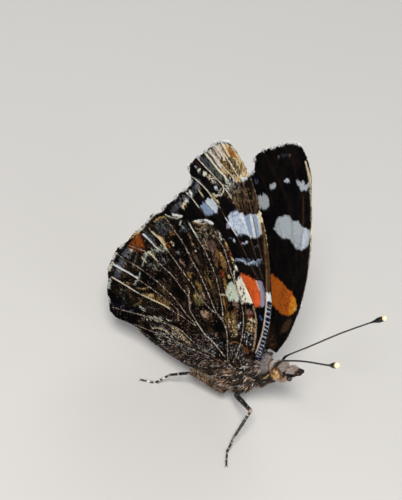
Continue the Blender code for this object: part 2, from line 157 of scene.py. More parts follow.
HINDWING_VEINS = {
    "costal": ((20.4, 1.2), (19.9, 0.86), (19.1, 0.38), (17.9, -0.1), (17.2, -0.48), (15.7, -0.86),
               (14.3, -1.14), (13.1, -1.43), (11.5, -1.8), (9.8, -2.2), (7.6, -2.15), (5.8, -1.75),
               (3.6, -1.0), (1.4, 0.2)),
    "radial": ((20.3, 4.4), (19.76, 4.1), (18.05, 3.14), (16.8, 2.38), (15.3, 1.8), (14.3, 1.43),
               (12.8, 1.05), (11.1, 0.86), (9.5, 0.75), (8.3, 0.8), (7.2, 0.85), (6.4, 0.7), (5.5, 0.55),
               (4.2, 0.65), (3.0, 0.8), (1.4, 1.0)),
    "median_1": ((20.5, 7.7), (19.67, 7.14), (18.4, 6.3), (17.1, 5.4), (15.67, 4.76), (14.4, 4.2),
                 (13.2, 3.6), (11.86, 3.05), (10.0, 2.4), (8.7, 2.0), (7.6, 1.35), (7.1, 0.9)),
    "median_2": ((18.9, 10.7), (17.86, 9.8), (17.3, 9.05), (16.05, 8.1), (14.8, 7.14), (13.76, 6.4),
                 (12.5, 5.5), (11.4, 4.67), (10.6, 4.3), (9.3, 3.4), (8.3, 2.4), (8.1, 1.9)),
    "median_3": ((16.0, 14.2), (15.6, 12.6), (15.14, 10.86), (14.3, 9.9), (13.4, 8.95), (12.5, 7.85),
                 (11.8, 7.3), (11.0, 6.7), (10.3, 6.1), (9.5, 5.7), (8.0, 5.75), (7.1, 5.3), (6.4, 5.0),
                 (5.4, 4.4), (4.6, 3.8), (4.0, 3.0), (3.1, 2.2), (2.1, 1.4)),
    "cubital_1": ((14.4, 16.2), (13.6, 14.6), (12.7, 12.5), (11.4, 10.4), (9.9, 8.5), (8.6, 7.3), (7.2, 6.3),
                  (6.2, 5.2)),
    "cubital_2": ((12.7, 17.2), (12.75, 16.9), (12.3, 15.7), (11.9, 14.67), (11.24, 13.3), (10.3, 11.6),
                  (9.3, 10.0), (8.5, 8.7), (7.8, 7.7), (7.1, 6.9)),
    "anal_1": ((11.2, 17.9), (10.9, 17.3), (10.05, 15.3), (9.15, 13.3), (8.65, 11.8), (8.1, 10.0),
               (7.6, 8.9), (7.15, 8.0), (6.9, 7.2), (6.55, 6.6), (6.1, 5.8), (5.9, 5.2)),
    "anal_2": ((6.6, 18.3), (6.3, 15.5), (5.9, 12.5), (5.0, 8.0), (4.2, 6.9), (3.5, 6.0), (2.6, 4.5),
               (1.8, 2.8)),
    "anal_3": ((4.6, 14.9), (3.9, 11.9), (3.2, 9.0), (2.2, 6.0), (1.6, 3.5)),
}

# Trunk sections of the solids: x, height of the centre, half width, half height.
TRUNK_SECTIONS = (
    (-16.3, 4.25, 0.27, 0.27), (-15.8, 4.08, 0.58, 0.56), (-14.6, 3.66, 0.96, 0.94), (-13.0, 3.1, 1.32, 1.3),
    (-11.2, 2.45, 1.62, 1.6), (-9.4, 1.8, 1.84, 1.82), (-7.6, 1.15, 1.92, 1.92), (-5.8, 0.46, 1.8, 1.85),
    (-4.9, 0.1, 1.5, 1.6), (-4.4, -0.05, 1.4, 1.55), (-3.9, -0.2, 1.8, 2.0), (-2.9, -0.25, 2.25, 2.45),
    (-1.5, -0.12, 2.55, 2.72), (0.3, 0.3, 2.55, 2.6), (2.0, 0.8, 2.25, 2.3), (3.1, 1.08, 1.75, 1.85),
    (3.75, 1.1, 1.2, 1.25), (4.05, 0.98, 1.1, 1.1), (4.4, 0.88, 1.2, 1.2), (4.8, 0.8, 1.34, 1.32),
    (5.2, 0.76, 1.36, 1.34), (5.65, 0.78, 1.12, 1.15), (5.92, 0.8, 0.75, 0.8), (6.02, 0.8, 0.4, 0.45))
# Where abdomen and thorax meet, and thorax and head.
WAIST_X = -4.45
NECK_X = 3.95
# The brow's and the chin's long hair begins at this x, and the feelers at this x and z.
BROW_X = 5.2
CHIN_X = 4.3
ANTENNA_BASE = (4.75, 1.75)
# How far the skin lies inside the solids, to leave room for the hair.
COAT_DEPTH = {"head": 0.14, "thorax": 0.36, "abdomen": 0.34}
ABDOMEN_SEGMENTS = 7
# Sections of a palp: x, height of the centre, half width, half height.
PALP_SECTIONS = ((6.12, 0.72, 0.26, 0.36), (6.35, 0.75, 0.36, 0.58), (6.8, 0.76, 0.4, 0.6),
                 (7.2, 0.76, 0.36, 0.46), (7.5, 0.76, 0.29, 0.34), (7.95, 0.78, 0.27, 0.32),
                 (8.2, 0.8, 0.2, 0.19))
# How far each palp stands from the middle, and how far it leans back to it.
PALP_OFFSET = 0.5
PALP_LEAN = 0.2
COIL_CENTRE = np.array((6.2, 0.0, -0.32))
# The feelers' centre lines.
ANTENNAE = {
    RIGHT: ((5.1, -0.84, 1.72), (5.5, -0.8, 2.22), (6.0, -0.92, 2.52), (7.0, -1.4, 2.95), (10.1, -3.0, 4.05),
            (12.4, -4.25, 4.75), (15.6, -5.95, 5.6), (17.75, -6.93, 6.27)),
    LEFT: ((5.1, 0.84, 1.72), (5.6, 0.86, 2.3), (6.6, 1.25, 2.75), (8.6, 2.2, 3.45), (12.1, 3.8, 4.8),
           (15.6, 5.4, 5.9), (17.65, 6.2, 6.48)),
}
# Hip, knee, ankle, sole and tip of each walking leg in the floor's frame.
LEGS = {
    ("midleg", RIGHT): ((0.1, -2.1, 3.6), (3.5, -4.9, 5.3), (3.15, -7.7, 2.7), (2.85, -8.2), (3.95, -10.3)),
    ("midleg", LEFT): ((0.1, 1.9, 3.3), (0.55, 6.3, 5.1), (-2.2, 5.6, 2.4), (-2.0, 5.2), (-1.2, 7.0)),
    ("hindleg", RIGHT): ((-1.9, -1.7, 2.8), (-6.4, -2.35, 3.75), (-9.1, -3.35, 2.4), (-10.8, -3.8),
                         (-12.5, -4.45)),
    ("hindleg", LEFT): ((-1.9, 1.2, 2.6), (-6.3, 2.1, 3.2), (-9.0, 3.55, 2.2), (-10.7, 3.95), (-12.4, 4.9)),
}
# The left foreleg's centre line in the trunk's frame.
FORELEG_POINTS = ((2.2, 0.7, -1.2), (2.4, 0.8, -1.45), (3.2, 0.8, -0.95), (3.9, 0.74, -0.66),
                  (4.4, 0.66, -0.56))

# Camera: where it looks from in the trunk's frame, and the picture it fills.
PICTURE = (402, 500)
CAMERA_TURN = math.radians(36.0)
CAMERA_RISE = math.radians(20.0)
CAMERA_ROLL = math.radians(-9.6)
CAMERA_DISTANCE = 180.0
FOCAL_PIXELS = 1403.0
TRUNK_PIXEL = (247.0, 371.0)
SENSOR = 36.0


def linear(red, green, blue):
    """A display colour of 0 to 255 as linear light."""
    value = np.array((red, green, blue)) / 255
    return np.where(value <= 0.04045, value / 12.92, ((value + 0.055) / 1.055) ** 2.4)


PAINTS = {name: linear(*colour) for name, colour in {
    "black": (7, 5, 6), "soot": (20, 16, 15), "umber": (50, 37, 28), "brown": (88, 65, 45),
    "pinkbrown": (128, 102, 90), "fawn": (182, 154, 128), "ochre": (168, 124, 66), "gold": (216, 184, 116),
    "cream": (240, 224, 186), "ivory": (248, 240, 222), "white": (250, 251, 253), "ice": (214, 224, 238),
    "bluegrey": (150, 170, 198), "slate": (80, 88, 100), "lilac": (182, 172, 196), "greengrey": (110, 116, 104),
    "palegreen": (212, 222, 206), "olive": (112, 102, 66), "bronze": (140, 110, 62), "salmon": (244, 112, 54),
    # tawny is the red of the forewing's upper band, browned and darkened as painted shade.
    "vermilion": (206, 92, 16), "amber": (222, 150, 44), "rust": (116, 48, 22), "tawny": (186, 98, 30),
    "blue": (90, 130, 208), "navy": (24, 28, 62), "bluewhite": (218, 230, 248), "grey": (134, 128, 128),
    # shade is white dimmed as painted shade, for the bar and spots of the forewing's upper side.
    "shade": (190, 198, 204), "chocolate": (42, 27, 19), "pink": (226, 212, 204), "sand": (226, 196, 138),
    "russet": (142, 74, 26), "ash": (176, 162, 154),
    "eye": (160, 118, 68), "eye_fleck": (46, 30, 18), "eye_light": (190, 148, 96), "eye_rim": (54, 38, 26),
}.items()}


def plain(paint, count):
    """A row of one paint for each of `count` points."""
    return np.tile(PAINTS[paint], (count, 1))


def blend(colour, paint, cover):
    """Mixes a paint into rows of colour, by its cover of each."""
    colour += (PAINTS[paint] - colour) * cover[:, None]


def unevenly(colour, spread, rng):
    """Rows of colour, each made darker or lighter by chance."""
    return colour * np.exp(rng.normal(0.0, spread, len(colour)))[:, None]


def unit(vectors):
    """Vectors scaled to length one."""
    return vectors / np.maximum(np.linalg.norm(vectors, axis=-1, keepdims=True), 1e-9)


def looped(outline):
    """An outline with its first point again at its end."""
    return np.vstack((outline, outline[:1]))


def smooth_curve(points, steps):
    """Points along a Catmull-Rom curve through `points`, with `steps` to each span."""
    points = np.asarray(points, float)
    ends = np.vstack((2 * points[0] - points[1], points, 2 * points[-1] - points[-2]))
    curve = []
    for index in range(1, len(ends) - 2):
        before, start, end, after = ends[index - 1:index + 3]
        for step in range(steps):
            t = step / steps
            curve.append(0.5 * (2 * start + (end - before) * t
                                + (2 * before - 5 * start + 4 * end - after) * t ** 2
                                + (3 * start - before - 3 * end + after) * t ** 3))
    curve.append(points[-1])
    return np.array(curve)


def spaced(line, gap):
    """The same line with its points `gap` apart."""
    along = np.concatenate(([0.0], np.cumsum(np.linalg.norm(np.diff(line, axis=0), axis=1))))
    places = np.linspace(0.0, along[-1], max(int(round(along[-1] / gap)), 1) + 1)
    return np.stack([np.interp(places, along, line[:, axis]) for axis in range(line.shape[1])], 1)


def line_distance(points, line):
    """Distance of each point from a line, and how far along the line its nearest place is, from 0 to 1."""
    nearest = np.full(len(points), np.inf)
    part = np.zeros(len(points))
    for index in range(len(line) - 1):
        run = line[index + 1] - line[index]
        along = np.clip((points - line[index]) @ run / (run @ run), 0.0, 1.0)
        gap = np.linalg.norm(points - line[index] - along[:, None] * run, axis=1)
        nearer = gap < nearest
        nearest[nearer] = gap[nearer]
        part[nearer] = (index + along[nearer]) / (len(line) - 1)
    return nearest, part


def inside(points, outline):
    """Whether each point lies inside a closed outline."""
    x, y = points.T
    result = np.zeros(len(points), bool)
    for (x0, y0), (x1, y1) in zip(outline, np.roll(outline, -1, axis=0)):
        if y0 != y1:
            result ^= ((y0 > y) != (y1 > y)) & (x < x0 + (y - y0) * (x1 - x0) / (y1 - y0))
    return result


def ramp(value, start, end):
    """0 up to `start`, 1 from `end`, and a smooth step between; `end` may be the lower one."""
    part = np.clip((value - start) / (end - start), 0.0, 1.0)
    return part * part * (3 - 2 * part)


# The noise repeats after this many cells.
NOISE_CELLS = 64


def noise(x, y, seed):
    """Smooth noise from 0 to 1 with cells one unit across."""
    table = np.random.default_rng(seed).random((NOISE_CELLS, NOISE_CELLS))
    column = np.floor(x).astype(int)
    row = np.floor(y).astype(int)
    across = ramp(x - column, 0.0, 1.0)
    up = ramp(y - row, 0.0, 1.0)
    left, right = column % NOISE_CELLS, (column + 1) % NOISE_CELLS
    low, high = row % NOISE_CELLS, (row + 1) % NOISE_CELLS
    below = table[left, low] * (1 - across) + table[right, low] * across
    above = table[left, high] * (1 - across) + table[right, high] * across
    return below * (1 - up) + above * up


class Canvas:
    """Colours at points of a wing's face, laid on mark by mark.

    A mark may take only a share of the scales it covers, which leaves it grainy, and its edge is drawn
    out along the wing's spokes, the way the scales lie.
    """

    # How far a mark's edge is ragged, drawn out along the spokes, and soft.
    TOOTH = 0.06
    FEATHER = 0.22
    EDGE = 0.07
    # A line's edge is as soft as this; a vein's is sharper.
    LINE_EDGE = 0.05
    VEIN_EDGE = 0.02
    # An oval reaches this many of its radii at most.
    OVAL_REACH = 1.4
    # Bearings from the wing's root, in radians, are stretched by this for noise along the spokes.
    SPOKE = 18.0

    def __init__(self, points, kind, ground, seed, density=1.0, feather=FEATHER):
        self.seed = seed
        self.density = density
        self.grains = np.random.default_rng(seed)
        spoke = points - WING_ROOTS[kind]
        self.reach = np.linalg.norm(spoke, axis=1)
        self.bearing = np.arctan2(spoke[:, 1], spoke[:, 0])
        a, b = points.T
        shift = np.stack((noise(a / 0.16, b / 0.13, seed) - 0.5, noise(a / 0.17, b / 0.15, seed + 1) - 0.5), 1)
        drawn = (self.streaks(0.13, 0.7, seed + 6) - 0.5) * 2 * feather
        self.points = points + shift * 2 * self.TOOTH + unit(spoke) * drawn[:, None]
        self.true_points = points
        self.colour = plain(ground, len(points))

    def streaks(self, width, length, seed):
        """Smooth noise of long cells that run out from the wing's root."""
        return noise(self.bearing * self.SPOKE / width, self.reach / length, seed)

    def lay(self, paint, cover, where=slice(None), share=1.0):
        """Mixes in a paint by its cover of the points, or of a share of them."""
        if share < 1.0:
            cover = cover * (self.grains.random(len(cover)) < share)
        self.colour[where] += (PAINTS[paint] - self.colour[where]) * cover[:, None]

    def near(self, low, high, margin):
        """The points within a box round a mark."""
        within = (self.points > np.array(low) - margin) & (self.points < np.array(high) + margin)
        return np.flatnonzero(within.all(1))

    def around(self, place, radii):
        """The points that an oval can reach."""
        return self.near(place, place, max(radii) * self.OVAL_REACH)

    def area(self, paint, outline, strength=1.0, share=None):
        """A patch with a closed outline."""
        outline = np.array(outline, float)
        where = self.near(outline.min(0), outline.max(0), 0.4)
        points = self.points[where]
        gap = line_distance(points, looped(outline))[0]
        gap[~inside(points, outline)] *= -1
        self.lay(paint, strength * ramp(gap, -self.EDGE, self.EDGE), where, share or self.density)

    def dab(self, paint, place, radii, heading=0.0, strength=1.0, share=None):
        """An uneven oval; its first radius lies at `heading` degrees from the a axis towards b."""
        where = self.around(place, radii)
        self.lay(paint, strength * self.oval(place, radii, heading, where), where, share or self.density)

    def spot(self, paint, place, radii, heading=0.0):
        """A clean oval."""
        where = self.around(place, radii)
        self.lay(paint, self.oval(place, radii, heading, where, 0.1), where)

    def oval(self, place, radii, heading, where, unevenness=0.4):
        """How far an oval covers the points `where`."""
        turn = math.radians(heading)
        shift = self.points[where] - place
        along = shift @ (math.cos(turn), math.sin(turn)) / radii[0]
        across = shift @ (-math.sin(turn), math.cos(turn)) / radii[1]
        rough = noise(self.points[where, 0] / 0.3, self.points[where, 1] / 0.3, self.seed + 2) - 0.5
        return ramp(np.hypot(along, across) + unevenness * rough, 1.15, 0.75)

    def line(self, paint, widths, points, strength=1.0, share=1.0, edge=LINE_EDGE):
        """A stroke along `points`, whose full width runs from the first to the second of `widths`."""
        line = smooth_curve(points, 3)
        where = self.near(line.min(0), line.max(0), max(widths) + 0.3)
        places = self.true_points[where]
        if edge >= self.LINE_EDGE:
            places = 0.3 * self.points[where] + 0.7 * places
        gap, part = line_distance(places, line)
        half = (widths[0] + (widths[1] - widths[0]) * part) / 2
        self.lay(paint, strength * ramp(gap - half, edge, -edge), where, share)

    def vein(self, paint, points, strength=1.0, share=1.0):
        """A line one scale wide."""
        self.line(paint, (0.05, 0.05), points, strength, share, self.VEIN_EDGE)

    def dust(self, paint, place, radii, heading=0.0, share=0.2):
        """Single scales of a colour strewn over an oval."""
        where = self.around(place, radii)
        self.lay(paint, self.oval(place, radii, heading, where), where, share)

    def speckle(self, paint, place, radii, heading=0.0, share=0.4, grain=0.13, stretch=2.0):
        """Short streaks of a colour, each of a few scales, strewn over an oval."""
        where = self.around(place, radii)
        grains = self.streaks(grain, grain * stretch, self.seed + len(paint) + int(10 * place[0]))[where]
        cover = self.oval(place, radii, heading, where) * ramp(grains, 0.86 - share * 0.6, 1.0 - share * 0.6)
        self.lay(paint, cover, where)

    def mottle(self, paint, size, share, seed, stretch=1.0):
        """Patches of a colour all over, of about `size`, stretched outward."""
        a, b = self.true_points.T
        bend = 0.8 * noise(a / 2.3, b / 2.3, seed + 5)
        field = 0.6 * noise(self.bearing * self.SPOKE / size + bend, self.reach / (size * stretch) + bend, seed)
        field += 0.4 * self.streaks(size * 0.35, size * 0.6, seed + 9)
        self.lay(paint, ramp(field, 0.64 - share * 0.5, 0.78 - share * 0.5) * 0.85, share=self.density)

    def shade(self, depth, width=0.15, length=1.4):
        """Darker and lighter streaks over all that is laid, by up to `depth`."""
        streaks = 0.6 * self.streaks(width, length, self.seed + 41)
        streaks += 0.4 * self.streaks(width * 0.6, length * 0.3, self.seed + 42)
        spared = 1.0 - 0.8 * ramp(self.colour.mean(1), 0.15, 0.45)
        self.colour *= np.exp((streaks - 0.5) * 2 * depth * spared)[:, None]

    def deepen(self, power, limit):
        """Darker darks: all that is darker than `limit` loses light, the more so the darker it is."""
        level = self.colour.mean(1, keepdims=True) / limit
        self.colour *= np.minimum(level, 1.0) ** power

    def grain(self, dark, light):
        """Shares of single scales darker, or in drifts lighter, than their neighbours."""
        draw = self.grains.random(len(self.colour))
        a, b = self.true_points.T
        drift = ramp(noise(a / 1.1, b / 1.1, self.seed + 30), 0.35, 0.8)
        self.colour[(draw < dark) & (self.colour.mean(1) < 0.3)] *= 0.35
        pale = draw > 1.0 - light * drift
        self.colour[pale] += (PAINTS["fawn"] - self.colour[pale]) * 0.5

    def draw(self, marks):
        """Lays a table of marks, each of which is a method's name and its values."""
        for kind, *values in marks:
            getattr(self, kind)(*values)


# Each mark below is a method of Canvas and its values, with places as a and b of the wing.

# Marks of the forewing's upper side: the white bar and white spots, dimmed as painted shade, and the red band,
# browned and darkened as painted shade.
FOREWING_UPPER_MARKS = (
    ("line", "brown", (0.3, 0.2), ((18.0, -3.0), (21.4, -2.55), (24.6, -2.0)), 0.5),
    ("line", "umber", (0.12, 0.1), ((21.8, -0.3), (24.2, 0.8), (27.4, 3.9)), 0.4),
    ("line", "umber", (0.12, 0.1), ((21.8, 2.0), (24.3, 4.0), (25.4, 5.5)), 0.4),
    ("dab", "umber", (28.6, -0.3), (0.9, 0.7), 30, 0.2),
    ("area", "shade", ((20.8, -3.9), (20.8, -3.3), (20.85, -2.3), (21.1, -1.8), (21.0, -1.0), (21.3, -0.5),
                       (21.2, 0.1), (20.8, 0.6), (20.3, 1.2), (19.5, 1.3), (18.7, 1.55), (18.4, 0.9),
                       (18.0, 0.3), (18.2, -0.5), (18.0, -1.5), (17.6, -2.1), (17.7, -3.0), (18.0, -3.35),
                       (18.9, -3.8))),
    ("area", "ice", ((20.7, -3.35), (20.7, -2.85), (19.2, -2.75), (17.8, -2.85), (17.9, -3.25), (19.3, -3.45))),
    ("line", "grey", (0.09, 0.09), ((20.6, -2.75), (19.2, -2.65), (17.8, -2.5)), 0.6),
    ("line", "grey", (0.09, 0.09), ((20.9, -0.95), (19.6, -1.1), (18.3, -1.4)), 0.6),
    ("area", "shade", ((22.7, 3.4), (22.3, 3.9), (21.9, 4.5), (21.2, 4.35), (20.4, 3.95), (20.55, 3.1),
                       (21.2, 2.6), (22.1, 2.75))),
    ("spot", "shade", (24.15, 2.47), (0.56, 0.44), -45), ("spot", "shade", (25.66, 0.57), (0.42, 0.3), -60),
    ("area", "shade", ((26.8, -2.55), (26.3, -2.0), (26.65, -1.6), (26.2, -1.3), (26.6, -0.95),
                       (26.3, -0.65), (25.9, -0.95), (25.45, -1.6), (25.5, -2.1), (26.0, -2.5))),
    ("line", "cream", (0.3, 0.2), ((26.8, -2.8), (28.0, -2.25), (29.2, -1.55)), 0.9),
    ("line", "cream", (0.3, 0.25), ((19.1, -4.15), (20.0, -4.12), (20.8, -4.02))),
    ("dab", "pinkbrown", (29.1, 0.7), (0.2, 0.15), 0, 0.6), ("dab", "fawn", (28.3, 2.2), (0.22, 0.14), 0, 0.5),
    ("dab", "slate", (28.8, 1.4), (0.3, 0.5), 20, 0.3), ("speckle", "navy", (23.6, 5.0), (0.6, 0.45), 40, 0.7),
    ("speckle", "slate", (23.5, 4.9), (0.5, 0.35), 40, 0.6), ("dab", "navy", (22.4, 6.9), (0.5, 0.35), 45),
    ("dab", "navy", (21.0, 8.4), (0.5, 0.35), 45), ("speckle", "bluegrey", (22.4, 6.9), (0.4, 0.3), 45, 0.5),
    ("speckle", "bluegrey", (21.0, 8.4), (0.4, 0.3), 45, 0.5),
    ("area", "tawny", ((11.2, -2.5), (11.5, -1.4), (11.9, -0.6), (12.15, 0.4), (12.7, 1.6), (13.4, 3.2),
                       (14.3, 5.2), (15.4, 7.6), (16.4, 9.7), (16.9, 11.5), (16.3, 12.9), (15.2, 13.1),
                       (14.6, 12.2), (13.9, 10.6), (12.6, 8.2), (11.2, 5.8), (9.9, 3.6), (8.7, 1.8),
                       (8.0, 0.3), (7.6, -1.0), (7.5, -1.9), (7.8, -2.5), (8.6, -3.0), (9.6, -3.25),
                       (10.5, -3.0))),
    ("area", "amber", ((10.6, -3.1), (10.7, -2.5), (9.6, -2.35), (8.3, -2.3), (7.9, -2.5), (8.7, -3.1),
                       (9.6, -3.35))),
    ("dust", "tawny", (9.3, -2.7), (1.2, 0.35), 0, 0.35), ("dust", "rust", (9.6, -1.4), (1.6, 0.9), 0, 0.25),
    ("dab", "gold", (9.2, -3.25), (0.3, 0.15), 0),
    ("line", "chocolate", (0.1, 0.08), ((8.3, -1.9), (9.8, -1.2), (11.3, -0.9)), 0.35),
    ("line", "chocolate", (0.1, 0.08), ((8.0, -0.6), (9.8, 0.1), (11.9, 0.5)), 0.3),
    ("dab", "brown", (6.0, -2.2), (1.6, 0.45), -22, 0.55),
    ("dab", "chocolate", (4.2, 0.8), (3.6, 1.4), 30, 0.8),
    ("speckle", "brown", (3.0, 0.8), (2.6, 1.4), 40, 0.5),
)

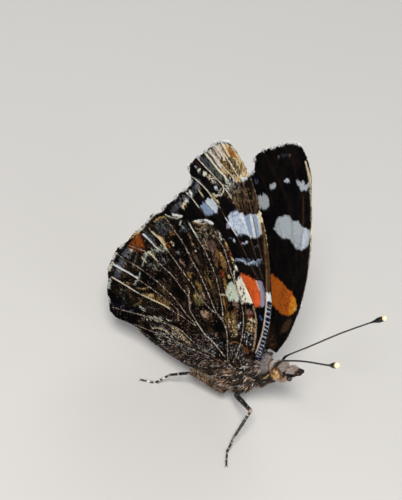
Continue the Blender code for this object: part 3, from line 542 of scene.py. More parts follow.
# Marks of the forewing's underside: a marbled apex, an eyespot, the white bar, the blue line and the red patch.
FOREWING_UNDER_MARKS = (
    ("dab", "chocolate", (27.0, 1.0), (4.6, 3.2), 40),
    # The brown field between the bar and the apex.
    ("dab", "umber", (23.6, -0.9), (2.6, 1.7), 20), ("dab", "soot", (24.4, -2.3), (1.6, 0.6), 20),
    ("speckle", "olive", (23.5, -0.5), (1.9, 1.0), 30, 0.75, 0.14, 3.0),
    ("speckle", "brown", (22.6, -1.3), (1.5, 0.9), 10, 0.5, 0.1, 2.5),
    ("speckle", "fawn", (23.7, 0.2), (1.5, 0.8), 35, 0.35, 0.1, 1.6),
    ("speckle", "grey", (24.7, -0.2), (1.1, 1.0), 40, 0.7, 0.12, 1.6),
    ("speckle", "palegreen", (24.9, 0.0), (0.9, 0.9), 40, 0.5, 0.12, 1.4),
    ("speckle", "black", (23.8, -0.6), (2.8, 1.8), 25, 0.5, 0.13, 2.5),
    ("dab", "soot", (22.6, -2.5), (2.0, 0.4), 8),
    ("speckle", "bronze", (23.4, -2.2), (1.8, 0.5), 12, 0.4, 0.12, 3.0),
    ("dab", "umber", (22.4, -3.2), (2.2, 0.35), 5),
    ("speckle", "brown", (22.4, -3.2), (2.2, 0.4), 5, 0.6, 0.12, 5.0),
    ("dab", "black", (22.1, 0.9), (0.35, 1.3), 0),
    # The gilded corner between costa and apex.
    ("area", "sand", ((25.3, -1.4), (26.2, -2.6), (28.2, -2.0), (29.6, -1.0), (30.0, 0.2), (29.6, 1.3),
                      (28.9, 2.8), (27.7, 1.6), (26.5, 0.5), (25.2, -0.8))),
    ("area", "pink", ((30.1, 0.4), (29.7, 1.5), (28.9, 2.8), (28.3, 2.2), (27.7, 1.4), (28.2, 0.5),
                      (29.3, 0.4)), 0.65),
    ("line", "ochre", (0.5, 0.3), ((28.0, 0.5), (27.3, -0.2), (26.5, -0.8)), 0.6),
    ("speckle", "umber", (26.8, -0.3), (1.0, 0.5), 40, 0.5, 0.1, 1.4),
    ("speckle", "ochre", (27.5, 0.5), (1.2, 0.6), 42, 0.5, 0.12, 3.0),
    ("speckle", "brown", (27.3, 0.4), (1.5, 0.6), 42, 0.45, 0.1, 6.0),
    ("speckle", "ivory", (27.6, 0.4), (1.5, 0.5), 42, 0.6, 0.1, 6.0),
    ("area", "cream", ((28.1, -1.0), (27.4, -1.75), (26.3, -2.3), (26.0, -2.1), (26.1, -1.4),
                       (27.0, -1.0)), 0.9),
    ("speckle", "gold", (27.0, -1.5), (1.1, 0.5), 38, 0.5, 0.12, 5.0),
    ("speckle", "sand", (27.6, -1.3), (1.3, 0.5), 42, 0.5, 0.1, 6.0),
    ("area", "ochre", ((29.0, -0.3), (28.6, -0.85), (28.2, -1.2), (27.9, -0.95), (28.1, -0.5), (28.5, -0.25))),
    ("speckle", "rust", (28.5, -0.7), (0.6, 0.25), 45, 0.35, 0.12, 2.5),
    ("line", "rust", (0.14, 0.1), ((29.0, -1.05), (28.6, -1.45), (28.0, -1.95)), 0.7),
    ("dust", "umber", (27.5, -1.0), (1.1, 0.6), 40, 0.26), ("dust", "cream", (27.8, -1.2), (1.2, 0.6), 40, 0.2),
    ("line", "ivory", (0.26, 0.26), ((29.6, -0.7), (28.9, -1.4), (28.2, -1.85), (27.4, -2.3), (26.2, -2.65))),
    ("line", "umber", (0.08, 0.08), ((29.3, -0.7), (28.6, -1.4), (27.5, -2.1), (26.3, -2.45)), 0.8),
    ("dab", "black", (29.15, 0.5), (0.2, 0.1), 40, 0.8), ("dab", "black", (28.95, -0.25), (0.18, 0.1), 40, 0.8),
    # Fine stripes between the veins.
    ("line", "white", (0.26, 0.14), ((29.6, 1.6), (28.7, 0.95), (27.8, 0.45))),
    ("line", "chocolate", (0.16, 0.12), ((29.35, 2.05), (28.2, 1.35), (27.3, 0.75), (26.3, 0.15))),
    ("line", "pinkbrown", (0.12, 0.1), ((29.55, 1.8), (28.8, 1.25), (28.0, 0.7)), 0.9),
    ("line", "umber", (0.14, 0.12), ((30.0, 0.95), (28.7, 0.2), (27.2, -0.6)), 0.95),
    ("line", "ivory", (0.2, 0.12), ((30.1, 0.62), (28.6, -0.1), (26.5, -1.15))),
    ("line", "brown", (0.14, 0.1), ((30.0, 0.25), (29.2, -0.15), (28.3, -0.6))),
    ("line", "cream", (0.24, 0.16), ((29.9, 0.0), (29.1, -0.35), (28.0, -0.95), (26.7, -1.6))),
    ("speckle", "brown", (27.2, -0.6), (1.3, 0.7), 35, 0.35, 0.1, 3.0),
    ("speckle", "umber", (26.5, -0.5), (1.0, 0.7), 35, 0.4, 0.1, 2.0),
    ("speckle", "sand", (28.6, 0.6), (0.8, 0.4), 40, 0.6, 0.1, 5.0),
    ("speckle", "bronze", (27.3, -0.5), (2.0, 1.2), 40, 0.5, 0.1, 5.0),
    ("dust", "brown", (27.2, -0.4), (2.0, 1.3), 40, 0.16), ("dust", "soot", (26.6, -0.7), (1.6, 1.1), 40, 0.14),
    ("dab", "bronze", (28.9, -0.6), (0.7, 0.32), 40, 0.85),
    ("dab", "tawny", (28.55, -0.75), (0.6, 0.26), 42, 0.7),
    ("speckle", "tawny", (28.8, -0.6), (0.8, 0.35), 40, 0.6, 0.1, 3.0),
    ("speckle", "olive", (27.0, -0.9), (1.5, 0.8), 40, 0.5, 0.12, 3.0),
    ("area", "greengrey", ((28.0, 3.7), (27.7, 3.0), (26.9, 2.3), (26.2, 1.6), (25.5, 0.95), (25.2, 1.5),
                           (26.2, 2.5), (27.1, 3.35), (27.8, 3.9))),
    ("area", "slate", ((28.0, 3.7), (27.7, 3.0), (26.9, 2.4), (26.3, 2.3), (27.1, 3.35), (27.8, 3.9))),
    ("speckle", "soot", (26.7, 2.5), (1.8, 0.5), 42, 0.5, 0.12, 3.0),
    ("line", "pink", (0.38, 0.28), ((29.0, 2.6), (28.0, 1.9), (26.9, 1.2), (26.0, 0.4))),
    ("line", "white", (0.3, 0.2), ((29.1, 2.4), (28.0, 1.7), (26.9, 1.1))),
    ("line", "ivory", (0.36, 0.26), ((28.7, 3.2), (28.0, 2.75), (27.3, 2.15), (26.4, 1.4), (25.7, 0.7))),
    ("line", "chocolate", (0.16, 0.12), ((28.85, 2.85), (27.6, 2.05), (26.6, 1.25), (25.9, 0.55))),
    ("line", "chocolate", (0.12, 0.1), ((29.2, 2.2), (28.0, 1.5), (26.8, 0.75))),
    ("line", "black", (0.12, 0.12), ((28.3, 3.9), (27.5, 3.3), (26.5, 2.3), (25.6, 1.35)), 0.8),
    ("speckle", "gold", (26.3, 0.7), (0.9, 0.3), 42, 0.6, 0.1, 2.5),
    ("dab", "ivory", (25.4, 0.57), (0.22, 0.2), 0), ("dab", "rust", (25.85, 0.35), (0.16, 0.28), 0, 0.6),
    ("area", "ivory", ((26.1, -1.4), (26.2, -2.45), (25.7, -2.5), (25.3, -1.75), (25.4, -1.25))),
    ("speckle", "gold", (26.0, -1.9), (0.3, 0.5), 0, 0.4), ("dab", "bluewhite", (25.6, -2.0), (0.16, 0.4), 0),
    # The dark cells between apex and eyespot, with the broken pale line across them.
    ("area", "black", ((25.4, 2.1), (26.6, 3.3), (27.4, 4.1), (27.8, 4.8), (26.8, 5.6), (25.2, 5.5),
                       (24.0, 5.9), (22.9, 5.9), (22.9, 3.4), (24.3, 3.2))),
    ("dab", "umber", (26.9, 4.3), (0.7, 0.25), 42, 0.7), ("dab", "slate", (26.0, 4.4), (0.5, 0.16), 42, 0.5),
    ("dab", "fawn", (26.9, 5.2), (0.12, 0.22), 30), ("dab", "lilac", (26.6, 4.8), (0.12, 0.2), 30),
    ("dab", "ivory", (26.3, 4.3), (0.13, 0.3), 40), ("dab", "ivory", (25.85, 3.5), (0.28, 0.36), 45),
    ("dab", "fawn", (25.4, 3.1), (0.18, 0.25), 45),
    ("speckle", "ivory", (25.0, 2.4), (0.6, 0.5), 45, 0.75, 0.1, 1.4),
    ("dab", "soot", (24.25, 3.1), (0.5, 0.5), 45), ("dab", "black", (24.1, 1.95), (0.8, 0.72), 30),
    ("line", "grey", (0.08, 0.08), ((24.6, 2.5), (24.7, 1.9), (24.3, 1.5)), 0.7),
    ("line", "ivory", (0.14, 0.18), ((24.35, 1.05), (23.8, 1.08), (23.35, 1.45), (23.1, 2.15), (23.3, 2.6))),
    ("line", "ivory", (0.06, 0.08), ((24.1, 1.4), (23.75, 1.5), (23.5, 1.9))),
    ("dab", "bluewhite", (24.15, 2.15), (0.3, 0.22), 0), ("dab", "grey", (23.95, 1.85), (0.16, 0.2), 0),
    ("dab", "gold", (23.0, 2.75), (0.45, 0.16), 50), ("dab", "cream", (22.45, 2.2), (0.35, 0.12), 50),
    ("line", "cream", (0.2, 0.16), ((23.95, 5.15), (23.5, 4.7), (22.8, 4.2))),
    ("line", "slate", (0.7, 0.6), ((24.7, 4.6), (24.0, 5.0), (23.3, 5.5), (22.8, 6.2), (22.0, 7.1),
                                   (21.2, 8.1), (20.4, 9.0)), 0.8),
    ("speckle", "grey", (22.9, 6.2), (2.6, 0.4), 128, 0.6, 0.11, 3.0),
    ("speckle", "black", (22.9, 6.2), (2.8, 0.6), 128, 0.45, 0.12, 4.0),
    ("dab", "white", (23.05, 5.9), (0.3, 0.2), 40), ("dab", "white", (22.0, 6.7), (0.25, 0.3), 30),
    ("dab", "cream", (21.4, 7.2), (0.2, 0.5), 50),
    # The spot below the eyespot.
    ("area", "bluegrey", ((21.6, 4.8), (22.3, 3.7), (22.7, 3.4), (22.6, 2.75), (21.8, 2.2), (20.95, 2.4),
                          (20.3, 3.7), (20.6, 4.3))),
    ("area", "ice", ((22.3, 3.8), (22.7, 3.4), (22.6, 2.75), (21.8, 2.2), (20.95, 2.4), (21.5, 3.1))),
    ("line", "white", (0.24, 0.2), ((22.25, 3.8), (21.6, 3.2), (20.95, 2.5))),
    # The white bar.
    ("area", "ice", ((20.4, 0.9), (21.1, 0.4), (21.3, -0.1), (21.15, -1.15), (20.9, -1.45), (21.15, -2.55),
                     (21.45, -3.4), (20.0, -3.5), (18.6, -3.55), (18.1, -2.8), (18.05, -2.05), (18.4, -1.6),
                     (18.4, -0.35), (18.85, 0.2), (19.4, 0.7))),
    ("speckle", "bluegrey", (19.8, -0.3), (1.7, 0.9), 0, 0.5, 0.1, 2.0),
    ("area", "bluegrey", ((21.0, -1.3), (21.0, -2.1), (19.6, -2.3), (18.2, -2.35), (18.3, -1.9),
                          (19.6, -1.6)), 0.85),
    ("line", "white", (0.3, 0.24), ((21.0, -2.4), (19.6, -2.5), (18.3, -2.6))),
    ("area", "bluegrey", ((21.2, -2.65), (21.2, -3.2), (19.8, -3.3), (18.5, -3.35), (18.3, -2.8),
                          (19.7, -2.75)), 0.85),
    ("line", "white", (0.12, 0.12), ((21.2, -0.9), (19.7, -1.35), (18.2, -1.85))),
    ("area", "cream", ((21.5, -3.4), (21.7, -3.75), (20.8, -3.95), (19.45, -4.15), (18.7, -3.6),
                       (20.1, -3.45))),
    ("dab", "lilac", (19.3, 1.0), (0.2, 0.3), 60),
    # Below the bar: small dots, the blue line and the red patch.
    ("dab", "bluewhite", (17.4, -1.3), (0.17, 0.2), 0), ("dab", "lilac", (17.2, -0.8), (0.14, 0.26), 0),
    ("dab", "bluewhite", (17.5, 0.4), (0.2, 0.14), 0), ("dab", "slate", (17.7, 0.9), (0.14, 0.3), 0),
    ("dab", "slate", (17.0, -2.7), (0.14, 0.4), 20), ("speckle", "navy", (14.9, -1.2), (0.4, 2.0), 0, 0.6),
    ("speckle", "slate", (14.8, -0.9), (0.36, 1.8), 0, 0.6),
    ("speckle", "bluegrey", (14.9, -1.3), (0.4, 1.7), 0, 0.55),
    ("line", "bluegrey", (0.3, 0.3), ((14.85, 0.6), (14.95, -0.2), (14.5, -1.1), (14.8, -1.8), (15.05, -2.5),
                                      (15.4, -3.1)), 0.9, 0.5),
    ("line", "bluewhite", (0.2, 0.22), ((14.95, 0.1), (14.8, -0.5), (14.45, -1.1), (14.7, -1.6),
                                        (14.9, -2.0)), 1.0, 0.8),
    ("dab", "soot", (13.9, -1.2), (0.5, 1.4), 0),
    ("line", "lilac", (0.7, 0.7), ((12.2, -2.6), (11.2, -2.75), (10.2, -2.75), (9.3, -2.5)), 0.75),
    ("line", "slate", (0.25, 0.2), ((12.2, -2.95), (11.0, -3.05), (9.8, -2.95)), 0.6),
    ("area", "salmon", ((13.1, 0.1), (13.0, -0.7), (12.8, -1.5), (12.5, -2.0), (12.1, -2.2), (11.2, -2.35),
                        (10.3, -2.35), (9.5, -2.3), (9.0, -2.1), (8.9, -1.5), (9.3, -0.9), (10.2, 0.3),
                        (11.6, 2.2), (13.0, 4.4), (14.6, 7.4), (15.8, 9.6), (16.6, 9.0), (15.4, 6.4),
                        (14.2, 3.4), (13.5, 1.4))),
    ("line", "ivory", (0.2, 0.1), ((12.4, -2.1), (11.9, -2.25), (11.2, -2.4)), 0.8),
    ("speckle", "vermilion", (11.4, -1.2), (1.6, 0.9), 0, 0.4, 0.12, 3.0),
    ("area", "white", ((11.1, -3.4), (10.9, -3.85), (10.2, -3.95), (9.6, -3.8), (9.3, -3.3), (9.6, -3.15),
                       (10.4, -3.15))),
)
# The ladder of dark squares along the forewing's costa, between two pale lines.
LADDER = ((9.6, -3.55), (8.7, -3.4), (6.7, -2.85), (5.1, -2.3), (3.2, -1.6), (1.8, -1.05))
LADDER_EDGE = ((10.6, -3.3), (8.7, -3.0), (5.85, -2.25), (4.2, -1.6), (2.4, -0.75))
LADDER_RUNGS = 15
LADDER_CROWDING = 1.15
# The strip along the costa beyond the ladder.
COSTAL_STRIP = ((20.0, -3.95), (18.9, -4.0), (16.5, -4.05), (14.5, -3.95), (12.6, -3.75), (11.3, -3.55))

# Where, along a, each vein of the forewing's underside turns pale on its way to the margin.
PALE_VEIN_STARTS = {"radial_fork": 25.0, "radial_tip": 25.0, "median_1": 22.9, "median_2": 21.6,
                    "median_3": 20.5}
# From where on, along a, they are striped at all, and up to where they are brown.
PALE_STRIPES_FROM = 20.5
BROWN_VEINS_TO = 22.2
# The stretches, along a, of the white bar's veins and of the cream and brown costa of the upper side.
WHITE_BAR_SPAN = (17.9, 21.4)
CREAM_COSTA_SPAN = (16.0, 29.0)
BROWN_COSTA_SPAN = (4.0, 18.0)

# Marks of the hindwing's underside, from the costa across to the inner margin.
HINDWING_UNDER_MARKS = (
    # Between the costa and the first vein.
    ("dab", "soot", (19.1, 0.0), (1.1, 0.6), 25), ("speckle", "greengrey", (19.2, 0.0), (1.0, 0.5), 25, 0.5),
    ("dab", "bronze", (17.4, -1.0), (0.6, 0.34), 10), ("dab", "rust", (16.4, -1.3), (0.35, 0.32), 10),
    ("dab", "sand", (15.5, -1.6), (0.5, 0.22), 10), ("dab", "ivory", (14.6, -1.95), (0.42, 0.3), 15),
    ("area", "black", ((14.3, -2.2), (14.2, -1.5), (13.0, -1.4), (12.4, -1.6), (13.2, -2.2))),
    ("line", "ivory", (0.14, 0.16), ((14.4, -2.2), (14.1, -1.7), (13.4, -1.55), (12.7, -1.6))),
    ("area", "ivory", ((12.7, -1.75), (13.0, -2.9), (11.7, -3.35), (10.0, -3.75), (9.85, -2.3),
                       (11.0, -1.95)), 1.0, 1.0),
    ("area", "ivory", ((13.5, -2.5), (13.3, -2.1), (12.7, -1.8), (12.8, -2.9))),
    ("speckle", "black", (11.2, -2.5), (1.3, 0.36), 0, 0.5, 0.15, 1.6),
    ("area", "palegreen", ((12.3, -0.6), (12.55, -1.2), (11.8, -1.75), (10.3, -1.95), (9.85, -1.2),
                           (9.75, -0.45), (10.7, 0.0), (11.5, -0.05)), 1.0, 1.0),
    ("dab", "ivory", (11.4, -0.95), (0.5, 0.3), 15),
    ("speckle", "greengrey", (10.7, -0.8), (0.6, 0.5), 10, 0.3),
    ("line", "ivory", (0.2, 0.12), ((10.6, -0.2), (10.6, 0.3), (10.6, 0.8))),
    ("area", "black", ((9.85, -3.85), (9.85, -2.35), (9.15, -2.35), (9.2, -3.85))),
    ("area", "black", ((10.0, -1.9), (10.0, -0.5), (8.2, -0.7), (8.2, -1.9))),
    ("area", "black", ((9.2, -3.8), (9.2, -2.4), (8.0, -2.45), (8.0, -3.9))),
    ("dab", "pinkbrown", (8.75, -3.05), (0.45, 0.5), 0, 1.0, 1.0),
    ("dab", "rust", (8.2, -3.0), (0.22, 0.5), 0, 0.9),
    ("dab", "pinkbrown", (9.6, -1.3), (0.5, 0.5), 0, 0.9, 1.0),
    ("dab", "rust", (8.9, -1.2), (0.36, 0.2), 0, 0.9),
    ("dab", "brown", (8.3, -1.05), (0.5, 0.45), 20, 1.0, 1.0), ("dab", "brown", (7.5, -0.5), (0.5, 0.4), 20),
    ("line", "black", (0.3, 0.3), ((10.2, -2.05), (9.0, -2.1), (7.8, -2.0), (6.6, -1.65), (5.8, -1.2))),
    ("dab", "cream", (7.7, -3.4), (0.25, 0.6), 0), ("dab", "bronze", (6.6, -3.0), (0.8, 0.6), 0),
    ("speckle", "cream", (6.5, -2.9), (0.9, 0.6), 0, 0.45),
    ("speckle", "white", (5.3, -2.3), (1.1, 0.9), 0, 0.3),
    ("speckle", "black", (5.2, -2.2), (1.1, 0.9), 0, 0.5), ("dab", "brown", (3.3, -2.0), (0.5, 0.3), 0),
    ("dab", "rust", (3.4, -2.1), (0.28, 0.24), 0),
    ("line", "ochre", (0.12, 0.12), ((3.9, 0.4), (4.25, -0.5), (3.95, -1.4), (3.4, -1.75), (2.8, -1.5)), 0.9),
    ("dab", "bluewhite", (6.75, -1.42), (0.6, 0.12), -28),
    ("speckle", "bronze", (6.6, -0.3), (1.9, 0.9), 0, 0.7, 0.3),
    ("speckle", "cream", (6.2, -0.4), (1.4, 0.7), 0, 0.25), ("dab", "black", (5.4, 0.2), (0.9, 0.35), 0, 0.8),
    ("dab", "black", (3.1, -0.5), (0.95, 1.0), 0), ("speckle", "grey", (3.0, -0.5), (0.9, 1.0), 0, 0.5),
    # Between the first and second veins.
    ("dab", "black", (19.0, 2.3), (1.0, 1.5), 20), ("speckle", "greengrey", (18.9, 2.0), (1.1, 1.4), 30, 0.4),
    ("speckle", "fawn", (19.0, 1.4), (0.9, 2.0), 0, 0.3, 0.12, 1.2),
    ("speckle", "ivory", (18.6, -0.3), (0.8, 0.7), 0, 0.25, 0.12, 1.2),
    ("line", "fawn", (0.1, 0.1), ((19.6, 3.8), (19.1, 3.0), (19.4, 2.1), (18.6, 1.4), (19.3, 0.5)), 0.9, 0.6),
    ("dab", "pinkbrown", (17.2, 1.3), (0.9, 0.8), 20, 0.5),
    ("speckle", "fawn", (17.2, 2.2), (0.7, 0.4), 25, 0.6), ("dab", "sand", (17.6, -0.9), (0.3, 0.22), 10),
    ("dab", "sand", (16.0, 0.0), (0.4, 0.2), 10), ("dab", "bronze", (16.0, 0.5), (0.6, 0.3), 10),
    ("dab", "fawn", (14.9, -0.45), (0.4, 0.2), 10), ("dab", "pinkbrown", (15.6, 0.95), (1.2, 0.22), 18, 0.7),
    ("dab", "rust", (15.6, 0.25), (0.8, 0.14), 10), ("dab", "bronze", (15.0, -0.25), (1.1, 0.36), 8),
    ("dab", "sand", (13.3, -0.75), (0.5, 0.16), 20), ("dab", "rust", (13.5, 0.1), (0.5, 0.3), 10),
    ("dab", "umber", (13.8, 0.75), (0.9, 0.3), 15), ("dab", "bronze", (12.2, -0.1), (0.9, 0.24), 0),
    ("dab", "bronze", (14.6, 0.9), (0.4, 0.25), 15),
    ("speckle", "ochre", (10.0, 0.2), (1.4, 0.4), 0, 0.6, 0.25),
    # Between the second and third veins.
    ("dab", "black", (18.8, 4.3), (1.0, 1.1), 35), ("dab", "palegreen", (19.6, 5.4), (0.14, 0.3), 45),
    ("dab", "palegreen", (18.9, 5.05), (0.2, 0.14), 20), ("speckle", "slate", (19.0, 5.0), (0.8, 0.9), 30, 0.5),
    ("dab", "sand", (17.1, 4.05), (0.26, 0.16), 15), ("dab", "fawn", (17.9, 4.3), (0.4, 0.15), 25, 0.7),
    ("dab", "ivory", (16.15, 3.65), (0.13, 0.13), 0), ("dab", "grey", (15.85, 2.45), (0.2, 0.12), 0),
    ("dab", "pinkbrown", (15.2, 3.8), (0.9, 0.3), 25, 0.6),
    ("speckle", "bronze", (12.6, 2.2), (1.1, 0.7), 20, 0.7, 0.28),
    ("dab", "umber", (12.8, 2.8), (0.35, 0.3), 15), ("speckle", "brown", (11.0, 1.9), (1.0, 0.8), 20, 0.7),
    ("dab", "brown", (9.6, 1.6), (0.5, 0.3), 10, 0.7), ("dab", "black", (6.6, 1.6), (0.9, 0.7), 20),
    ("speckle", "bronze", (4.6, 2.0), (0.5, 0.35), 0, 0.8), ("dab", "fawn", (4.7, 2.1), (0.35, 0.2), 20),
    ("speckle", "bluewhite", (3.8, 1.5), (0.7, 0.35), 0, 0.4),
    # Between the third and fourth veins.
    ("dab", "slate", (18.9, 8.3), (1.1, 1.0), 45, 0.7),
    ("speckle", "greengrey", (18.9, 8.6), (0.9, 0.9), 45, 0.5),
    ("speckle", "black", (18.6, 8.0), (1.1, 1.0), 45, 0.5), ("dab", "bronze", (18.2, 6.9), (0.5, 0.3), 35),
    ("dab", "black", (16.6, 5.9), (1.5, 0.5), 32), ("dab", "black", (14.9, 5.4), (1.0, 0.5), 35),
    ("dab", "sand", (17.1, 8.5), (0.8, 0.2), 42), ("dab", "tawny", (16.4, 7.7), (0.5, 0.2), 42, 0.8),
    ("dab", "black", (16.2, 6.3), (1.0, 0.5), 40, 1.0, 1.0), ("dab", "black", (17.6, 5.2), (0.9, 0.8), 30, 0.8),
    ("dab", "cream", (16.7, 6.9), (0.3, 0.17), 40), ("dab", "grey", (15.6, 6.3), (0.3, 0.22), 40),
    ("dab", "umber", (15.85, 6.9), (0.32, 0.28), 40), ("dab", "pinkbrown", (14.4, 5.9), (0.6, 0.28), 38),
    ("dab", "fawn", (14.35, 6.0), (0.4, 0.12), 38), ("dab", "bronze", (12.7, 5.1), (0.5, 0.34), 32),
    ("dab", "umber", (12.0, 4.75), (0.3, 0.26), 20), ("dab", "bronze", (11.4, 3.9), (0.7, 0.36), 35),
    ("speckle", "olive", (11.2, 3.9), (0.8, 0.4), 35, 0.5),
    ("line", "black", (0.55, 0.55), ((8.3, 5.4), (8.35, 4.3), (8.45, 2.9), (9.0, 1.5))),
    ("dab", "black", (7.2, 3.3), (1.25, 1.3), 0, 1.0, 1.0),
    ("dab", "black", (6.4, 1.8), (1.6, 0.7), 20, 1.0, 1.0), ("spot", "brown", (7.25, 3.27), (0.85, 0.9)),
    ("speckle", "fawn", (7.5, 3.5), (0.6, 0.65), 0, 0.7, 0.16),
    ("line", "black", (0.3, 0.3), ((7.25, 4.25), (6.45, 3.9), (6.2, 3.2), (6.5, 2.5), (7.25, 2.25),
                                   (8.0, 2.5))),
    ("speckle", "umber", (7.0, 2.9), (0.6, 0.7), 0, 0.5, 0.2), ("dab", "fawn", (7.7, 3.9), (0.3, 0.16), 0, 0.7),
    ("dab", "olive", (9.6, 4.1), (0.95, 0.85), 0, 0.9, 1.0),
    ("speckle", "gold", (9.9, 4.3), (0.6, 0.5), 0, 0.4, 0.16),
    ("speckle", "black", (9.3, 3.9), (0.8, 0.7), 0, 0.4, 0.16), ("dab", "fawn", (10.3, 3.4), (0.4, 0.16), 40),
    ("dab", "brown", (5.3, 3.0), (0.5, 0.4), 30, 0.8), ("dab", "black", (5.9, 2.2), (0.5, 0.4), 30),
    # Between the fourth and fifth veins.
    ("dab", "slate", (17.2, 10.4), (0.8, 0.6), 45), ("speckle", "black", (17.2, 10.3), (0.8, 0.6), 45, 0.5),
    ("line", "greengrey", (0.5, 0.5), ((15.7, 8.0), (16.0, 8.8), (15.4, 9.9), (14.9, 11.0), (14.3, 11.9)), 0.9),
    ("speckle", "palegreen", (15.4, 9.8), (0.5, 2.2), 20, 0.4),
    ("dab", "black", (14.7, 9.2), (0.85, 1.0), 45, 1.0, 1.0),
    ("dab", "black", (13.8, 10.2), (0.6, 1.2), 30, 0.9),
    ("speckle", "slate", (14.5, 8.8), (0.8, 0.8), 45, 0.35),
    ("speckle", "grey", (14.1, 8.7), (0.9, 0.3), 46, 0.5), ("dab", "black", (13.5, 7.6), (0.6, 0.4), 45),
    ("dab", "umber", (12.5, 6.9), (0.9, 0.3), 42),
    ("line", "brown", (0.4, 0.3), ((11.1, 5.95), (10.3, 5.65), (9.4, 5.5), (8.7, 5.55), (8.1, 5.65))),
    ("speckle", "cream", (9.7, 5.6), (1.4, 0.22), 0, 0.5, 0.13, 1.4),
    ("dab", "black", (9.9, 7.0), (1.2, 0.5), 32),
    # From the fifth vein to the eyespot.
    ("dab", "soot", (13.6, 10.4), (0.9, 1.0), 45), ("speckle", "greengrey", (13.6, 10.4), (0.9, 1.0), 45, 0.6),
    ("dab", "black", (11.9, 9.6), (0.8, 1.3), 70), ("dab", "umber", (13.0, 12.8), (1.2, 0.6), 38),
    ("dab", "brown", (12.6, 13.2), (0.5, 0.35), 38), ("dab", "brown", (10.5, 9.2), (1.2, 1.0), 45, 0.7),
    ("line", "palegreen", (0.22, 0.16), ((15.1, 11.1), (14.5, 11.4), (13.85, 11.8), (13.1, 12.15)), 0.8),
    ("dab", "ivory", (14.0, 11.75), (0.4, 0.14), 40),
    ("line", "greengrey", (0.2, 0.25), ((14.4, 12.9), (13.6, 13.3), (12.7, 13.8)), 0.7),
    ("dab", "black", (11.3, 11.8), (1.7, 1.4), 100, 1.0, 1.0),
    ("dab", "black", (10.6, 12.3), (0.9, 0.9), 20, 1.0, 1.0),
    ("speckle", "slate", (11.6, 11.4), (0.9, 0.9), 0, 0.25),
    ("speckle", "brown", (10.6, 12.9), (0.5, 0.3), 0, 0.4),
    ("line", "sand", (0.14, 0.14), ((10.1, 11.7), (9.95, 12.2), (9.85, 12.8), (9.95, 13.4)), 0.7, 0.7),
    ("speckle", "brown", (9.9, 12.6), (0.3, 0.9), 0, 0.4), ("dab", "ochre", (10.35, 14.8), (0.2, 0.4), 30, 0.7),
    ("line", "palegreen", (0.16, 0.16), ((12.1, 12.75), (11.6, 12.95), (11.15, 13.2), (10.7, 13.6),
                                         (10.3, 13.9)), 0.85),
    ("dab", "cream", (11.2, 13.2), (0.3, 0.14), 40), ("dab", "cream", (10.35, 15.45), (0.14, 0.24), 30, 0.6),
    ("line", "black", (0.3, 0.3), ((9.7, 10.9), (9.45, 12.0), (9.4, 13.4))),
    ("line", "olive", (0.16, 0.16), ((11.1, 9.1), (10.5, 9.25), (9.6, 9.4)), 0.9),
    ("area", "bronze", ((9.3, 10.6), (9.3, 12.4), (9.1, 13.1), (8.7, 11.8), (8.2, 10.0), (7.75, 8.9),
                        (8.6, 8.5), (8.9, 9.6)), 0.8),
    ("speckle", "umber", (8.9, 10.6), (0.5, 1.8), 12, 0.6), ("dab", "sand", (9.05, 11.6), (0.16, 0.5), 0, 0.8),
    ("dab", "umber", (9.0, 8.2), (0.7, 0.4), 30),
    # The lilac band inside the outer margin and the marks beside it.
    ("line", "slate", (1.3, 1.2), ((16.2, 12.9), (14.9, 14.1), (13.7, 15.0), (12.7, 15.9), (11.5, 16.5))),
    ("line", "grey", (0.8, 0.7), ((15.4, 13.4), (14.6, 14.2), (13.6, 14.9), (12.9, 15.5), (12.0, 16.1)), 0.7),
    ("speckle", "bluegrey", (13.6, 15.0), (1.8, 0.4), 135, 0.35, 0.12, 4.0),
    ("speckle", "soot", (13.8, 14.8), (2.4, 0.7), 135, 0.6, 0.14, 4.0),
    ("dab", "ivory", (15.1, 13.55), (0.22, 0.3), 0), ("dab", "soot", (13.2, 14.3), (0.55, 0.3), 30),
    ("area", "umber", ((15.4, 14.6), (14.8, 16.2), (13.9, 16.3), (14.4, 15.4))),
    ("line", "black", (0.2, 0.24), ((15.6, 14.2), (14.6, 15.3), (13.6, 16.0), (12.3, 16.6), (11.3, 17.1))),
    ("area", "rust", ((17.5, 11.8), (17.6, 12.3), (16.9, 13.4), (16.2, 14.4), (15.6, 14.2), (15.2, 13.7),
                      (15.1, 12.7), (15.0, 11.8), (15.6, 11.4), (16.5, 11.4)), 1.0, 1.0),
    ("area", "russet", ((17.4, 12.0), (17.4, 12.4), (16.8, 13.3), (16.1, 14.2), (15.5, 13.7), (15.35, 12.9),
                        (15.3, 12.2), (15.7, 11.65), (16.5, 11.6)), 1.0, 1.0),
    ("line", "rust", (0.1, 0.1), ((16.9, 12.2), (16.2, 12.9), (15.6, 13.4)), 0.5),
    ("line", "fawn", (0.16, 0.1), ((17.3, 12.1), (16.9, 12.9), (16.4, 13.6)), 0.5, 0.6),
    # The dark field behind the eyespot.
    ("dab", "umber", (7.7, 13.2), (0.9, 1.5), 20), ("dab", "bronze", (8.0, 13.3), (0.65, 0.2), 15, 0.7),
    ("line", "olive", (0.26, 0.2), ((7.7, 13.5), (7.4, 14.1), (7.0, 14.8), (6.1, 14.9)), 0.8),
    ("line", "greengrey", (0.36, 0.5), ((7.3, 11.0), (7.25, 12.3), (6.8, 13.2), (6.0, 13.2),
                                        (5.1, 13.4)), 0.6, 0.35),
    ("speckle", "palegreen", (6.4, 13.1), (1.2, 0.4), 20, 0.3),
    ("line", "black", (0.9, 0.9), ((6.2, 13.4), (5.9, 11.8), (5.7, 10.4), (5.4, 9.0), (5.2, 7.8))),
    ("speckle", "ivory", (5.8, 11.2), (0.45, 2.2), 4, 0.6, 0.1, 5.0),
    ("speckle", "greengrey", (9.4, 16.3), (0.9, 0.4), -15, 0.5),
    ("dab", "black", (8.9, 15.7), (1.1, 0.35), -10),
